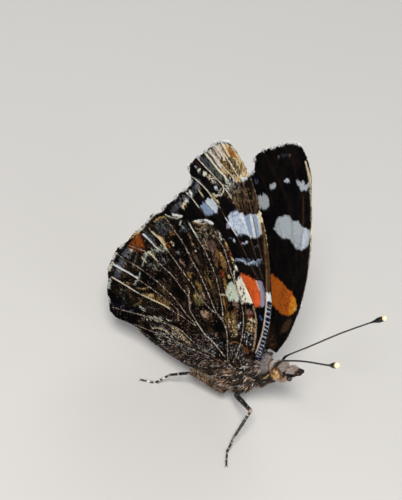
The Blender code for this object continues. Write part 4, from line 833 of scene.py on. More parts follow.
    ("area", "black", ((9.0, 18.5), (6.0, 19.0), (4.9, 17.0), (4.4, 14.4), (6.4, 14.2), (8.2, 16.2)), 1.0, 1.0),
    ("dab", "black", (6.2, 15.4), (0.9, 1.9), 0, 0.95, 1.0),
    ("speckle", "navy", (7.0, 17.0), (1.4, 1.4), 0, 0.5, 0.13, 4.0),
    ("speckle", "greengrey", (8.6, 15.9), (1.4, 0.7), 0, 0.25),
    ("speckle", "slate", (6.5, 15.8), (0.7, 1.4), 0, 0.3), ("dab", "brown", (8.4, 14.6), (0.6, 0.35), 0, 0.5),
    # The basal and inner parts.
    ("line", "black", (3.4, 3.0), ((2.6, 11.5), (2.0, 8.0), (2.2, 5.0), (3.2, 2.2)), 0.8),
    ("speckle", "grey", (4.3, 10.4), (0.7, 2.4), 0, 0.5, 0.12, 3.0),
    ("line", "brown", (0.6, 0.6), ((5.2, 8.9), (4.4, 7.9), (3.5, 7.1), (2.7, 6.5)), 0.8),
    ("speckle", "bronze", (4.0, 7.7), (0.5, 1.8), -40, 0.5, 0.12, 3.0),
    ("speckle", "cream", (4.0, 7.7), (0.4, 1.8), -40, 0.6, 0.12, 3.0),
    ("speckle", "rust", (3.6, 7.0), (0.5, 1.2), -40, 0.3),
    ("line", "cream", (0.16, 0.12), ((3.9, 9.4), (4.35, 10.1), (4.5, 10.9), (4.35, 12.1))),
    ("dab", "black", (3.9, 12.8), (0.9, 0.4), 0),
    ("speckle", "ivory", (3.2, 9.6), (1.1, 1.9), 0, 0.25, 0.12, 4.0),
    ("speckle", "grey", (2.6, 6.0), (1.6, 2.6), 0, 0.3, 0.11, 3.0),
    ("speckle", "pinkbrown", (3.6, 3.6), (1.6, 1.8), 0, 0.35, 0.12, 4.0),
    ("speckle", "bluewhite", (3.4, 3.2), (1.5, 1.6), 0, 0.12, 0.11, 3.0),
    ("dab", "black", (4.2, 1.3), (1.2, 0.5), 35, 0.9), ("dab", "brown", (4.9, 1.0), (0.6, 0.3), 20, 0.7),
)
# Up to where, along a, the hindwing's middle vein is at its brightest.
BRIGHT_VEIN_TO = 6.5
# Pale strokes that widen towards the margin, over the hindwing's veins.
HINDWING_PALE_VEINS = (
    ("line", "ivory", (0.2, 0.12), ((20.2, 4.3), (19.2, 3.8), (18.1, 3.15))),
    ("line", "cream", (0.26, 0.2), ((17.95, 9.85), (17.3, 9.0), (16.6, 8.45), (16.0, 8.05))),
    ("line", "white", (0.28, 0.14), ((17.5, 11.35), (17.2, 11.0), (16.6, 10.3), (16.0, 9.75), (15.5, 8.95))),
    ("line", "cream", (0.26, 0.16), ((15.2, 10.9), (14.8, 10.4), (14.3, 9.9))),
    ("line", "white", (0.24, 0.14), ((12.8, 16.8), (12.35, 15.7), (11.9, 14.6), (11.25, 13.2))),
    ("line", "ivory", (0.18, 0.1), ((10.9, 17.3), (10.2, 15.6), (9.2, 13.4))),
    ("line", "cream", (0.1, 0.2), ((9.1, 13.0), (8.5, 11.2), (8.1, 10.0), (7.6, 8.9))),
    ("line", "fawn", (0.14, 0.14), ((7.5, 7.6), (6.9, 7.65), (6.1, 7.7))),
)
# The wavy pale lines inside the hindwing's upper margin and the pale corners of its fringe.
HINDWING_RIM_MARKS = (
    ("dab", "cream", (20.3, 0.65), (0.4, 0.14), 0, 1.0, 1.0),
    ("line", "ochre", (0.1, 0.08), ((20.0, 0.4), (19.9, 1.0))),
    ("line", "cream", (0.08, 0.2), ((20.1, 1.5), (19.9, 2.2), (19.95, 2.9), (20.2, 3.6), (20.5, 4.0))),
    ("line", "ochre", (0.08, 0.08), ((19.85, 1.4), (19.65, 2.1), (19.7, 3.0), (20.0, 3.7)), 0.7),
    ("line", "ivory", (0.07, 0.16), ((20.6, 5.0), (20.25, 5.6), (20.25, 6.4), (20.45, 7.2), (20.6, 7.5))),
    ("line", "gold", (0.16, 0.14), ((20.3, 7.6), (20.0, 8.5), (19.4, 9.4)), 0.8),
    ("line", "black", (0.16, 0.16), ((20.75, 7.8), (20.35, 8.9), (19.6, 9.9))),
    ("line", "ivory", (0.14, 0.22), ((20.85, 8.4), (20.3, 9.3), (19.5, 10.3)), 1.0, 0.8),
    ("line", "ivory", (0.3, 0.2), ((18.9, 10.9), (18.4, 11.3), (17.9, 11.9)), 1.0, 0.85),
    ("line", "gold", (0.2, 0.2), ((17.75, 12.0), (17.3, 12.7), (16.8, 13.5)), 1.0, 0.8),
    ("line", "ivory", (0.24, 0.26), ((17.9, 12.2), (17.3, 13.1), (16.8, 13.9)), 1.0, 0.7),
    ("line", "ivory", (0.34, 0.26), ((16.1, 14.4), (15.6, 15.0), (15.2, 15.4)), 1.0, 0.85),
    ("line", "ivory", (0.3, 0.34), ((14.4, 16.1), (14.0, 16.6), (13.5, 17.0)), 1.0, 0.85),
    ("line", "ivory", (0.34, 0.4), ((13.0, 16.9), (12.5, 17.3), (12.0, 17.6)), 1.0, 0.9),
    ("line", "palegreen", (0.3, 0.3), ((10.6, 17.7), (9.9, 18.0), (9.2, 18.2)), 1.0, 0.7),
    ("line", "fawn", (0.24, 0.2), ((9.6, -3.8), (8.2, -4.0), (6.6, -3.75), (5.0, -3.4), (3.4, -2.9)), 1.0, 0.8),
    ("line", "chocolate", (0.2, 0.2), ((9.2, -3.6), (7.2, -3.5), (5.2, -3.05), (3.6, -2.6)), 0.8, 0.8),
)
# The hindwing's upper side has a browner, hairy base.
HINDWING_UPPER_MARKS = (
    ("dab", "chocolate", (4.5, 5.0), (5.0, 4.5), 45, 0.9),
    ("speckle", "brown", (3.6, 4.0), (4.0, 3.6), 45, 0.5),
)
# The red border of the hindwing's upper side: how far in from the margin it lies, how wide it is, over
# which parts of the margin it sets in, up to where along a it goes, and its dots. Then the blue spot at the
# wing's inner corner.
BORDER_EDGE = 0.45
BORDER_WIDTH = 2.7
BORDER_START = (0.3, 0.42)
BORDER_END = 5.6
BORDER_DOTS = ((17.3, 11.2), (15.1, 13.6), (12.7, 15.6), (10.3, 16.6))
ANAL_SPOT = (7.4, 17.3)


def wing_outline(kind, side):
    """A wing's outline from the root round the margin and back, and the part of it that has a fringe."""
    front, apex, outer, back = OUTLINES[kind]
    count, depth = WAVES[kind]
    front = smooth_curve(front + apex, OUTLINE_STEPS)
    curve = smooth_curve(outer, MARGIN_STEPS)
    along = unit(np.gradient(curve, axis=0))
    outward = np.stack((along[:, 1], -along[:, 0]), 1)
    phase = np.linspace(0.0, 1.0, len(curve))
    margin = curve - outward * depth * (np.sin(np.pi * count * phase) ** 2)[:, None]
    back = smooth_curve(back, OUTLINE_STEPS)
    outline = np.vstack((front[:-1], margin[:-1], back))
    if kind == "forewing":
        outline += ramp(outline[:, :1], *TIP_SPAN) * TIP_SHIFTS[side]
    first = len(front) - 1 - OUTLINE_STEPS * len(apex)
    return outline, outline[first:len(front) + len(margin) - 1]


def wing_axes(kind, side):
    """Hinge, the directions of a and b, and their normal, in the trunk's frame."""
    swing = math.radians(SWINGS[kind, side])
    toe_in = math.radians(TOE_IN[side])
    forward = np.array((math.cos(toe_in), -side * math.sin(toe_in), 0.0))
    up = np.array((0.0, 0.0, 1.0))
    to_apex = forward * math.sin(swing) + up * math.cos(swing)
    to_margin = -forward * math.cos(swing) + up * math.sin(swing)
    return np.array(HINGES[kind, side]), to_apex, to_margin, np.cross(to_apex, to_margin)


TURN = np.array(Euler((LEAN, -PITCH, 0.0)).to_matrix())
EYE_CORNERS = [np.array(corner) for word in SIDE_WORDS.values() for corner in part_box("eye_" + word)]
EYES_MIDDLE = sum(EYE_CORNERS) / len(EYE_CORNERS) / MM
TRUNK_PLACE = EYES_MIDDLE - TURN @ (EYE_CENTRE * (1, 0, 1))
STANCE_PLACE = TRUNK_PLACE - (0.0, 0.0, TRUNK_HEIGHT)


def from_trunk(points):
    """Points of the trunk's frame in the floor's frame."""
    return np.asarray(points) @ TURN.T + TRUNK_PLACE


# ---------------------------------------------------------------- materials


# Of each material: roughness, specular level, scale and spread of its grain, scale and depth of its bump,
# and any other socket it sets.
FINISHES = {
    "wing_scales": (0.7, 0.04, 9000.0, 0.1, 20000.0, 0.00001, {}),
    "wing_membrane": (0.7, 0.1, 7000.0, 0.2, 9000.0, 0.00003, {}),
    "hair": (0.55, 0.12, 5000.0, 0.2, 20000.0, 0.00001, {"Sheen Weight": 0.05}),
    "skin": (0.85, 0.1, 2500.0, 0.3, 6000.0, 0.00004, {}),
    "chitin": (0.4, 0.3, 4000.0, 0.15, 9000.0, 0.00002, {"Coat Weight": 0.25, "Coat Roughness": 0.25}),
    "eye": (0.42, 0.35, 9000.0, 0.1, 16000.0, 0.00001, {"Coat Weight": 0.15, "Coat Roughness": 0.3}),
}
BUMP_STRENGTH = 0.6


def set_sockets(node, values):
    """Sets a node's own sockets by name."""
    for socket, value in values.items():
        node.inputs[socket].default_value = value


def new_material(name, values):
    """A Principled material with the given values, its node tree and its shader."""
    material = bpy.data.materials.new(name)
    material.use_nodes = True
    shader = material.node_tree.nodes["Principled BSDF"]
    set_sockets(shader, values)
    return material, material.node_tree, shader


def tinted(name, roughness, specular, grain, spread, bump_scale, bump_depth, others):
    """The mesh's tint, lightened and darkened by fine noise, over a fine bump."""
    material, tree, shader = new_material(
        name, {"Roughness": roughness, "Specular IOR Level": specular, **others})
    place, tint, speck, level, shade, relief, bump = [tree.nodes.new("ShaderNode" + kind) for kind in (
        "TexCoord", "Attribute", "TexNoise", "MapRange", "VectorMath", "TexVoronoi", "Bump")]
    tint.attribute_name = "tint"
    shade.operation = "SCALE"
    set_sockets(speck, {"Scale": grain, "Detail": 3.0})
    set_sockets(level, {"From Min": 0.3, "From Max": 0.7, "To Min": 1.0 - spread, "To Max": 1.0 + spread})
    set_sockets(relief, {"Scale": bump_scale})
    set_sockets(bump, {"Distance": bump_depth, "Strength": BUMP_STRENGTH})
    for output, socket in (
            (place.outputs["Object"], speck.inputs["Vector"]),
            (speck.outputs["Fac"], level.inputs["Value"]),
            (tint.outputs["Color"], shade.inputs[0]),
            (level.outputs["Result"], shade.inputs["Scale"]),
            (shade.outputs["Vector"], shader.inputs["Base Color"]),
            (place.outputs["Object"], relief.inputs["Vector"]),
            (relief.outputs["Distance"], bump.inputs["Height"]),
            (bump.outputs["Normal"], shader.inputs["Normal"])):
        tree.links.new(output, socket)
    return material


MATERIALS = {name: tinted(name, *finish) for name, finish in FINISHES.items()}


def make_piece(name, vertices, faces, tint, material, nodes=(), uv=None, smooth=True):
    """One piece of the model: its mesh in metres, its colours, its body and the solids it replaces."""
    mesh = bpy.data.meshes.new(name)
    mesh.vertices.add(len(vertices))
    mesh.vertices.foreach_set("co", (np.asarray(vertices) * MM).astype(np.float32).ravel())
    mesh.loops.add(faces.size)
    mesh.loops.foreach_set("vertex_index", faces.astype(np.int32).ravel())
    mesh.polygons.add(len(faces))
    mesh.polygons.foreach_set("loop_start", np.arange(0, faces.size, faces.shape[1], dtype=np.int32))
    mesh.update(calc_edges=True)
    mesh.validate()
    colours = mesh.attributes.new("tint", "FLOAT_COLOR", "POINT")
    colours.data.foreach_set("color", np.column_stack((tint, np.ones(len(tint)))).astype(np.float32).ravel())
    if uv is not None:
        layer = mesh.uv_layers.new(name="OFBake")
        layer.data.foreach_set("uv", uv[faces.ravel()].astype(np.float32).ravel())
    if smooth:
        mesh.shade_smooth()
    mesh.materials.append(MATERIALS[material])
    piece = bpy.data.objects.new(name, mesh)
    bpy.context.scene.collection.objects.link(piece)
    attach(piece, "root")
    if nodes:
        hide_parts(*nodes)


def joined(parts):
    """Several meshes as one. Each is its vertices, its faces and any more rows that go with the vertices."""
    vertices, faces, *others = zip(*parts)
    starts = np.cumsum([0] + [len(part) for part in vertices[:-1]])
    return (np.vstack(vertices), np.vstack([part + start for part, start in zip(faces, starts)]),
            *(np.vstack(rows) for rows in others))


# How much of a UV map its rim takes, and half the width of a scale's or a hair's patch on it.
MAP_RIM = 0.01
PATCH = 0.0015


def on_map(places):
    """Places from 0 to 1 on an unwrap as places of the UV map, inside its rim."""
    return MAP_RIM + (1 - 2 * MAP_RIM) * places


def fitted_uv(places):
    """Places on an unwrap, stretched to fill the map but for a rim."""
    low, high = places.min(0), places.max(0)
    return on_map((places - low) / (high - low))


# ---------------------------------------------------------------- wings


# The finest shapes of a wing: its thinnest part, its pleats that fan out from the root, and its sag.
THINNEST = 0.6
PLEAT_HEIGHT = 0.05
PLEAT_COUNT = 22.0
PLEAT_REACH = 14.0
SAG = 0.1
SAG_LENGTH = 9.0
# The sheet narrows to this share of its thickness over this width of its rim.
RIM_THICKNESS = 0.3
RIM_WIDTH = 0.3
# The sheet is this much darker than the scales over it.
MEMBRANE_SHADE = 0.8
# Steps of a curve between two points of a vein.
VEIN_STEPS = 4


def wing_sheet(outline, veins):
    """Points and triangles over a wing's outline, with edges along its veins."""
    clearance = SHEET_PITCH / 2
    rim = spaced(looped(outline), SHEET_PITCH)[:-1]
    lines = []
    for vein in veins.values():
        line = spaced(smooth_curve(vein, VEIN_STEPS), SHEET_PITCH)
        clear = inside(line, outline) & (line_distance(line, looped(rim))[0] > clearance)
        lines.append(line[clear])
    low, high = outline.min(0), outline.max(0)
    columns, rows = np.meshgrid(np.arange(low[0], high[0], SHEET_PITCH),
                                np.arange(low[1], high[1], SHEET_PITCH * ROW_HEIGHT), indexing="ij")
    columns = columns + np.where(np.arange(rows.shape[1]) % 2, SHEET_PITCH / 2, 0.0)
    grid = np.stack((columns.ravel(), rows.ravel()), 1)
    grid = grid[inside(grid, outline)]
    for line in [looped(rim)] + lines:
        grid = grid[line_distance(grid, line)[0] > clearance]
    points = [*rim]
    edges = [(index, (index + 1) % len(rim)) for index in range(len(rim))]
    for line in lines:
        edges += [(len(points) + index, len(points) + index + 1) for index in range(len(line) - 1)]
        points += [*line]
    points += [*grid]
    made = delaunay_2d_cdt([Vector(point) for point in points], edges, [], 0, 1e-5)
    points = np.array([tuple(point) for point in made[0]])
    faces = np.array([face for face in made[2] if len(face) == 3])
    faces = faces[inside(points[faces].mean(1), outline)]
    used = np.unique(faces)
    renumbered = np.zeros(len(points), int)
    renumbered[used] = np.arange(len(used))
    return points[used], renumbered[faces]


def rim_edges(faces):
    """The directed edges of triangles that no second triangle shares."""
    edges = np.vstack((faces[:, (0, 1)], faces[:, (1, 2)], faces[:, (2, 0)]))
    keys = {tuple(edge) for edge in edges}
    return np.array([edge for edge in edges if (edge[1], edge[0]) not in keys])


class Wing:
    """One wing's shape: its outline, veins and relief, placed in the floor's frame."""

    def __init__(self, kind, side):
        self.kind = kind
        self.side = side
        self.name = f"{kind}_{SIDE_WORDS[side]}"
        self.outline, self.margin = wing_outline(kind, side)
        self.veins = FOREWING_VEINS if kind == "forewing" else HINDWING_VEINS
        self.hinge, self.to_apex, self.to_margin, self.normal = wing_axes(kind, side)

    def relief(self, points):
        """How high the wing stands off its plane, and half its thickness there."""
        gap = np.full(len(points), np.inf)
        for vein in self.veins.values():
            gap = np.minimum(gap, line_distance(points, smooth_curve(vein, 2))[0])
        half = WING_THICKNESS / 2 * (THINNEST + (1 - THINNEST) * np.exp(-gap))
        half = half + VEIN_HEIGHT * np.exp(-(gap / VEIN_SPREAD) ** 2)
        root = points - WING_ROOTS[self.kind]
        distance = np.linalg.norm(root, axis=1)
        pleats = PLEAT_HEIGHT * np.sin(PLEAT_COUNT * np.arctan2(root[:, 1], root[:, 0]))
        pleats *= np.clip(distance / PLEAT_REACH, 0.0, 1.0)
        return pleats + SAG * np.sin(distance / SAG_LENGTH), half

    def place(self, points, height):
        """Points of the wing's plane, `height` along its normal, in the floor's frame."""
        a, b = points.T
        flat = self.hinge + a[:, None] * self.to_apex + b[:, None] * self.to_margin
        return from_trunk(flat + height[:, None] * self.normal)

    def directions(self, headings):
        """Directions in the wing's plane, as vectors of the floor's frame."""
        return (headings[:, :1] * self.to_apex + headings[:, 1:] * self.to_margin) @ TURN.T

    def face_normals(self, sign, count):
        """The normal of the front (1) or back (-1) face in the floor's frame, once for each of `count`."""
        return np.tile(sign * self.normal @ TURN.T, (count, 1))

    def out_lie(self, points):
        """The way scales point: out from the root."""
        return unit(points - WING_ROOTS[self.kind])


def stretch(line, low, high=math.inf):
    """The points of a line whose a lies between two values."""
    return [point for point in line if low < point[0] < high]


def paint_forewing_under(points, margin):
    """Colours of the forewing's underside."""
    canvas = Canvas(points, "forewing", "black", 11)
    canvas.mottle("soot", 0.4, 0.4, 12, 3.0)
    canvas.draw(FOREWING_UNDER_MARKS)
    for name, pale_from in PALE_VEIN_STARTS.items():
        vein = FOREWING_VEINS[name]
        outer = stretch(vein, PALE_STRIPES_FROM)
        canvas.line("black", (0.24, 0.24), outer, 0.5)
        canvas.vein("pinkbrown", outer, 0.7)
        canvas.vein("ivory", stretch(vein, pale_from))
        if vein[0][0] < PALE_STRIPES_FROM:
            canvas.vein("brown", stretch(vein, 0.0, BROWN_VEINS_TO), 0.9)
    for name in ("median_1", "median_2"):
        canvas.line("white", (0.1, 0.1), stretch(FOREWING_VEINS[name], *WHITE_BAR_SPAN))
    for name in ("cubital_1", "cubital_2", "anal"):
        canvas.vein("brown", FOREWING_VEINS[name])
    canvas.line("brown", (0.7, 0.5), COSTAL_STRIP)
    canvas.line("bronze", (0.2, 0.16), [(a, b + 0.12) for a, b in COSTAL_STRIP], 0.6)
    canvas.line("chocolate", (0.12, 0.1), COSTAL_STRIP, 0.8)
    canvas.speckle("umber", (15.5, -4.0), (4.5, 0.5), 0, 0.5, 0.12, 3.0)
    paint_ladder(canvas)
    canvas.dab("blue", (7.4, -2.1), (0.4, 0.12), 25, 0.6)
    canvas.shade(0.22, 0.12)
    paint_margin(canvas, "forewing", margin, 0.2)
    return canvas.colour


def paint_ladder(canvas):
    """The ladder along the forewing's costa: dark rungs on a pale strip, between two lines."""
    canvas.line("black", (0.7, 0.7), [(a, b + 0.3) for a, b in LADDER_EDGE[1:]])
    canvas.line("bluewhite", (0.66, 0.6), LADDER, 0.9)
    gap, part = line_distance(canvas.true_points, smooth_curve(LADDER, 4))
    rung = np.sin(2 * np.pi * LADDER_RUNGS * part ** LADDER_CROWDING)
    canvas.lay("navy", ramp(gap, 0.34, 0.27) * ramp(rung, -0.9, -0.6))
    canvas.lay("black", ramp(gap, 0.28, 0.18) * ramp(rung, -0.6, -0.1) * 0.8)
    canvas.line("fawn", (0.16, 0.2), LADDER_EDGE)
    canvas.line("ivory", (0.06, 0.1), LADDER_EDGE, 0.8)


def paint_forewing_upper(points, margin):
    """Colours of the forewing's upper side."""
    canvas = Canvas(points, "forewing", "black", 21, feather=0.2)
    canvas.mottle("soot", 0.4, 0.35, 22, 4.0)
    canvas.draw(FOREWING_UPPER_MARKS)
    for name in ("radial_fork", "median_1", "median_2", "median_3", "cubital_1", "cubital_2", "anal"):
        canvas.vein("umber", FOREWING_VEINS[name], 0.45, 0.5)
    front = smooth_curve(FOREWING_FRONT, 6)
    canvas.line("cream", (0.2, 0.16), stretch(front, *CREAM_COSTA_SPAN), 0.8, 0.75)
    canvas.line("brown", (0.24, 0.2), stretch(front, *BROWN_COSTA_SPAN), 0.7, 0.6)
    paint_margin(canvas, "forewing", margin, 0.2)
    return canvas.colour


def fringe_pallor(kind, points):
    """From 0 in the fringe's dark stretches to 1 in its pale ones."""
    pallor = np.zeros(len(points))
    for a, b, reach in PALE_FRINGE[kind]:
        distance = np.hypot(points[:, 0] - a, points[:, 1] - b)
        pallor = np.maximum(pallor, ramp(distance, reach + 0.15, reach - 0.1))
    return pallor


def paint_margin(canvas, kind, margin, depth):
    """A dark rim to the wing, with the roots of the fringe's pale stretches."""
    gap = line_distance(canvas.true_points, margin)[0]
    pallor = fringe_pallor(kind, canvas.true_points)
    canvas.lay("black", ramp(gap, depth, depth * 0.6) * 0.8)
    canvas.lay("white", ramp(gap, depth * 0.7, depth * 0.4) * pallor, share=0.85)


def paint_hindwing_under(points, margin):
    """Colours of the hindwing's underside."""
    canvas = Canvas(points, "hindwing", "soot", 31, 0.85)
    canvas.mottle("black", 0.6, 0.6, 32, 2.4)
    canvas.mottle("umber", 0.36, 0.36, 33, 3.0)
    canvas.mottle("brown", 0.24, 0.18, 34, 2.4)
    for vein in HINDWING_VEINS.values():
        canvas.line("black", (0.5, 0.5), vein, 0.6)
    canvas.draw(HINDWING_UNDER_MARKS)
    canvas.shade(0.7)
    canvas.deepen(0.5, 0.09)
    canvas.grain(0.1, 0.06)
    for vein in HINDWING_VEINS.values():
        canvas.line("black", (0.3, 0.3), vein, 0.75)
        canvas.vein("pinkbrown", vein, 0.75)
        canvas.vein("ivory", vein, 0.85, 0.35)
    canvas.vein("ivory", stretch(HINDWING_VEINS["median_3"], 0.0, BRIGHT_VEIN_TO), 0.9, 0.7)
    canvas.draw(HINDWING_PALE_VEINS)
    canvas.lay("black", ramp(line_distance(points, margin)[0], 0.55, 0.4) * 0.85)
    paint_margin(canvas, "hindwing", margin, 0.42)
    canvas.draw(HINDWING_RIM_MARKS)
    return canvas.colour


def paint_hindwing_upper(points, margin):
    """Colours of the hindwing's upper side: black, with the red border and its dots."""
    canvas = Canvas(points, "hindwing", "black", 41)
    canvas.mottle("chocolate", 0.5, 0.35, 42, 3.0)
    canvas.draw(HINDWING_UPPER_MARKS)
    gap, part = line_distance(canvas.points, margin)
    border = ramp(gap, BORDER_EDGE - 0.08, BORDER_EDGE + 0.08)
    border = border * ramp(gap, BORDER_WIDTH + 0.1, BORDER_WIDTH - 0.1)
    canvas.lay("vermilion", border * ramp(part, *BORDER_START) * (points[:, 0] > BORDER_END))
    for name in ("median_2", "median_3", "cubital_1", "cubital_2", "anal_1"):
        canvas.line("chocolate", (0.1, 0.14), HINDWING_VEINS[name], 0.6)
    for dot in BORDER_DOTS:
        canvas.dab("black", dot, (0.5, 0.42), 45)
    canvas.dab("black", ANAL_SPOT, (1.0, 0.9), 20)
    canvas.dab("blue", ANAL_SPOT, (0.55, 0.5), 20)
    paint_margin(canvas, "hindwing", margin, 0.25)
    return canvas.colour


PAINTERS = {("forewing", "under"): paint_forewing_under, ("forewing", "upper"): paint_forewing_upper,
            ("hindwing", "under"): paint_hindwing_under, ("hindwing", "upper"): paint_hindwing_upper}

# A kite is a flat blade of five points: root, two corners, tip and a point under its middle.
KITE_POINTS = 5
KITE_FACES = np.array(((2, 1, 0), (3, 2, 0), (4, 0, 1), (4, 1, 2), (4, 2, 3), (4, 3, 0)))
KITE_PATCH = PATCH * np.array(((-1, 0), (0, 1), (1, 0), (0, -1), (0, 0)))
# A kite's colour at each of its five points: darker at the root and under its middle, as painted shade where a
# scale lies under its neighbours, and lighter at its tip, as a painted highlight.
KITE_SHADING = (0.8, 1.0, 1.12, 1.0, 0.8)
KITE_MIDDLE = 0.55
KITE_THICKNESS = 0.012


def kites(roots, along, normal, lengths, widths, lifts, across=None):
    """Closed four-cornered blades: corners for each root, and the triangles between them."""
    across = np.cross(normal, along) if across is None else across
    lengths, widths, lifts = lengths[:, None], widths[:, None], lifts[:, None]
    middle = roots + along * lengths * KITE_MIDDLE
    corners = np.stack((roots, middle + across * widths / 2 + normal * lifts * 0.5,
                        roots + along * lengths + normal * lifts,
                        middle - across * widths / 2 + normal * lifts * 0.5,
                        middle - normal * KITE_THICKNESS + normal * lifts * 0.3), 1)
    corners[:, (1, 3)] += (normal * KITE_THICKNESS)[:, None]
    faces = (np.arange(len(roots))[:, None, None] * KITE_POINTS + KITE_FACES).reshape(-1, 3)
    return corners.reshape(-1, 3), faces


def kite_uv(places):
    """Each kite's small patch of the UV map, at its root's place there."""
    return np.repeat(places, KITE_POINTS, axis=0) + np.tile(KITE_PATCH, (len(places), 1))


def scale_roots(wing, pitch, rng):
    """Root, heading and width of each scale: staggered rows, and a row of narrow ones along each vein."""
    low, high = wing.outline.min(0), wing.outline.max(0)
    rows, columns = np.meshgrid(np.arange(low[0], high[0], pitch * SCALE_ROW_RATIO),
                                np.arange(low[1], high[1], pitch), indexing="ij")
    columns = columns + np.where(np.arange(rows.shape[0]) % 2, pitch / 2, 0.0)[:, None]
    roots = np.stack((rows.ravel(), columns.ravel()), 1)
    roots += rng.normal(0.0, SCALE_SCATTER * pitch, roots.shape)
    heading = wing.out_lie(roots)
    widths = SCALE_WIDTH * rng.uniform(0.85, 1.1, len(roots))
    for vein in wing.veins.values():
        line = spaced(smooth_curve(vein, VEIN_STEPS), VEIN_SCALE_GAP)
        along = unit(np.gradient(line, axis=0))
        along *= np.sign((along * wing.out_lie(line)).sum(1, keepdims=True))
        clear = line_distance(roots, line)[0] > VEIN_SCALE_WIDTH / 2
        roots = np.vstack((roots[clear], line))
        heading = np.vstack((heading[clear], along))
        widths = np.concatenate((widths[clear], np.full(len(line), VEIN_SCALE_WIDTH)))
    rim = line_distance(roots, looped(wing.outline))[0]
    kept = inside(roots, wing.outline) & (rim > SCALE_RIM_GAP)
    return roots[kept], heading[kept], widths[kept]


def add_wing_scales(wing, face, sign):
    """The scales of one face, shingled outward."""
    rng = np.random.default_rng(SCALE_SEEDS[wing.kind])
    pitch = SCALE_PITCH * (COARSER_PITCH if (wing.kind, face) == ("hindwing", "upper") else 1.0)
    roots, heading, widths = scale_roots(wing, pitch, rng)
    count = len(roots)
    on_vein = widths == VEIN_SCALE_WIDTH
    colour = PAINTERS[wing.kind, face](roots, wing.margin)
    # Dark scales differ more from their neighbours than pale ones.
    spread = np.where(on_vein, 0.15, 0.05 + 0.22 * (1.0 - np.minimum(colour.mean(1) * 2.0, 1.0)))
    colour = np.clip(colour * np.exp(rng.normal(0.0, 1.0, count) * spread)[:, None], 0.0, 0.93)
    heading = unit(heading + rng.normal(0.0, 0.1, roots.shape) * (1.0 - 0.8 * on_vein)[:, None])
    height, half = wing.relief(roots)
    normal = wing.face_normals(sign, count)
    along = wing.directions(heading)
    across = unit(np.cross(normal, along) + normal * rng.normal(0.0, SCALE_TILT, count)[:, None])
    start = wing.place(roots, height + sign * (half - 0.004 + 0.03 * on_vein))
    lengths = SCALE_LENGTH * rng.uniform(0.85, 1.15, count)
    lifts = np.where(on_vein, 0.01, rng.uniform(0.03, 0.06, count))
    vertices, faces = kites(start, along, normal, lengths, widths, lifts, across)
    # Painted shade at each scale's root and a painted highlight at its tip.
    kite_shading = np.tile(KITE_SHADING, count)[:, None]
    tint = np.clip(np.repeat(colour, KITE_POINTS, axis=0) * kite_shading, 0.0, 0.95)
    make_piece(f"{wing.name}_scales_{face}", vertices, faces, tint, "wing_scales",
               uv=kite_uv(fitted_uv(roots)), smooth=False)


def add_fringe(wing):
    """The fringe of the outer margin: pale between the veins, dark where they end."""
    rng = np.random.default_rng(FRINGE_SEED)
    margin = spaced(wing.margin, FRINGE_PITCH)
    count = len(margin)
    along_margin = unit(np.gradient(margin, axis=0))
    outward = np.stack((along_margin[:, 1], -along_margin[:, 0]), 1)
    phase = np.linspace(0.0, 1.0, count)
    ragged = 0.5 * (noise(phase * 90.0, phase * 7.0, 72) - 0.5)
    pale = fringe_pallor(wing.kind, margin) + ragged > 0.5
    # Towards the hindwing's inner corner the pale stretches turn grey.
    grey = ramp(margin[:, 0], 13.0, 10.0)[:, None] if wing.kind == "hindwing" else 0.0
    bright = PAINTS["white"] + (PAINTS["greengrey"] - PAINTS["white"]) * grey
    height, half = wing.relief(margin)
    layers = []
    for layer in (-1, 1):
        heading = unit(outward + rng.normal(0.0, 0.22, outward.shape))
        roots = margin - outward * rng.uniform(0.05, 0.22, count)[:, None]
        lengths = np.where(pale, PALE_FRINGE_LENGTHS[wing.kind], DARK_FRINGE_LENGTH)
        lengths = lengths * rng.uniform(0.7, 1.2, count)
        colour = np.where(pale[:, None], bright, PAINTS["black"]) * rng.uniform(0.75, 1.0, count)[:, None]
        corners, triangles = kites(
            wing.place(roots, height + layer * 0.4 * half), wing.directions(heading),
            wing.face_normals(layer, count), lengths, np.full(count, FRINGE_WIDTH),
            rng.uniform(-0.02, 0.03, count))
        places = np.stack((phase, np.full(count, 0.3 + 0.2 * layer)), 1)
        layers.append((corners, triangles, np.repeat(colour, KITE_POINTS, axis=0), kite_uv(on_map(places))))
    vertices, faces, tint, uv = joined(layers)
    make_piece(f"{wing.name}_fringe", vertices, faces, tint, "wing_scales", uv=uv, smooth=False)


def add_wing(kind, side):
    """A wing: its membrane with raised veins, the scales of both faces, and its fringe."""
    wing = Wing(kind, side)
    points, faces = wing_sheet(wing.outline, wing.veins)
    height, half = wing.relief(points)
    rim = line_distance(points, looped(wing.outline))[0]
    half = half * (RIM_THICKNESS + (1 - RIM_THICKNESS) * ramp(rim, 0.0, RIM_WIDTH))
    vertices = np.vstack((wing.place(points, height + half), wing.place(points, height - half)))
    first, second = rim_edges(faces).T
    walls = np.vstack((np.column_stack((second, first, first + len(points))),
                       np.column_stack((second, first + len(points), second + len(points)))))
    triangles = np.vstack((faces, faces[:, ::-1] + len(points), walls))
    front_face, back_face = ("under", "upper") if side == RIGHT else ("upper", "under")
    tint = np.vstack([PAINTERS[kind, face](points, wing.margin) for face in (front_face, back_face)])
    make_piece(f"{wing.name}_membrane", vertices, triangles, tint * MEMBRANE_SHADE, "wing_membrane",
               (wing.name,))
    for face in ("under", "upper"):
        add_wing_scales(wing, face, 1 if face == front_face else -1)
    add_fringe(wing)
    return wing


# ---------------------------------------------------------------- tubes and hair


def grid_faces(rows, sides):
    """Triangles over a tube's grid of points, with a fan round a middle point at each end."""
    row, column = np.meshgrid(np.arange(rows - 1), np.arange(sides), indexing="ij")
    corner = (row * sides + column).ravel()
    following = (row * sides + (column + 1) % sides).ravel()
    turn = np.arange(sides)
    end = (rows - 1) * sides
    first, last = rows * sides, rows * sides + 1
    return np.vstack((np.column_stack((corner, following, following + sides)),
                      np.column_stack((corner, following + sides, corner + sides)),
                      np.column_stack(((turn + 1) % sides, turn, np.full(sides, first))),
                      np.column_stack((end + turn, end + (turn + 1) % sides, np.full(sides, last)))))


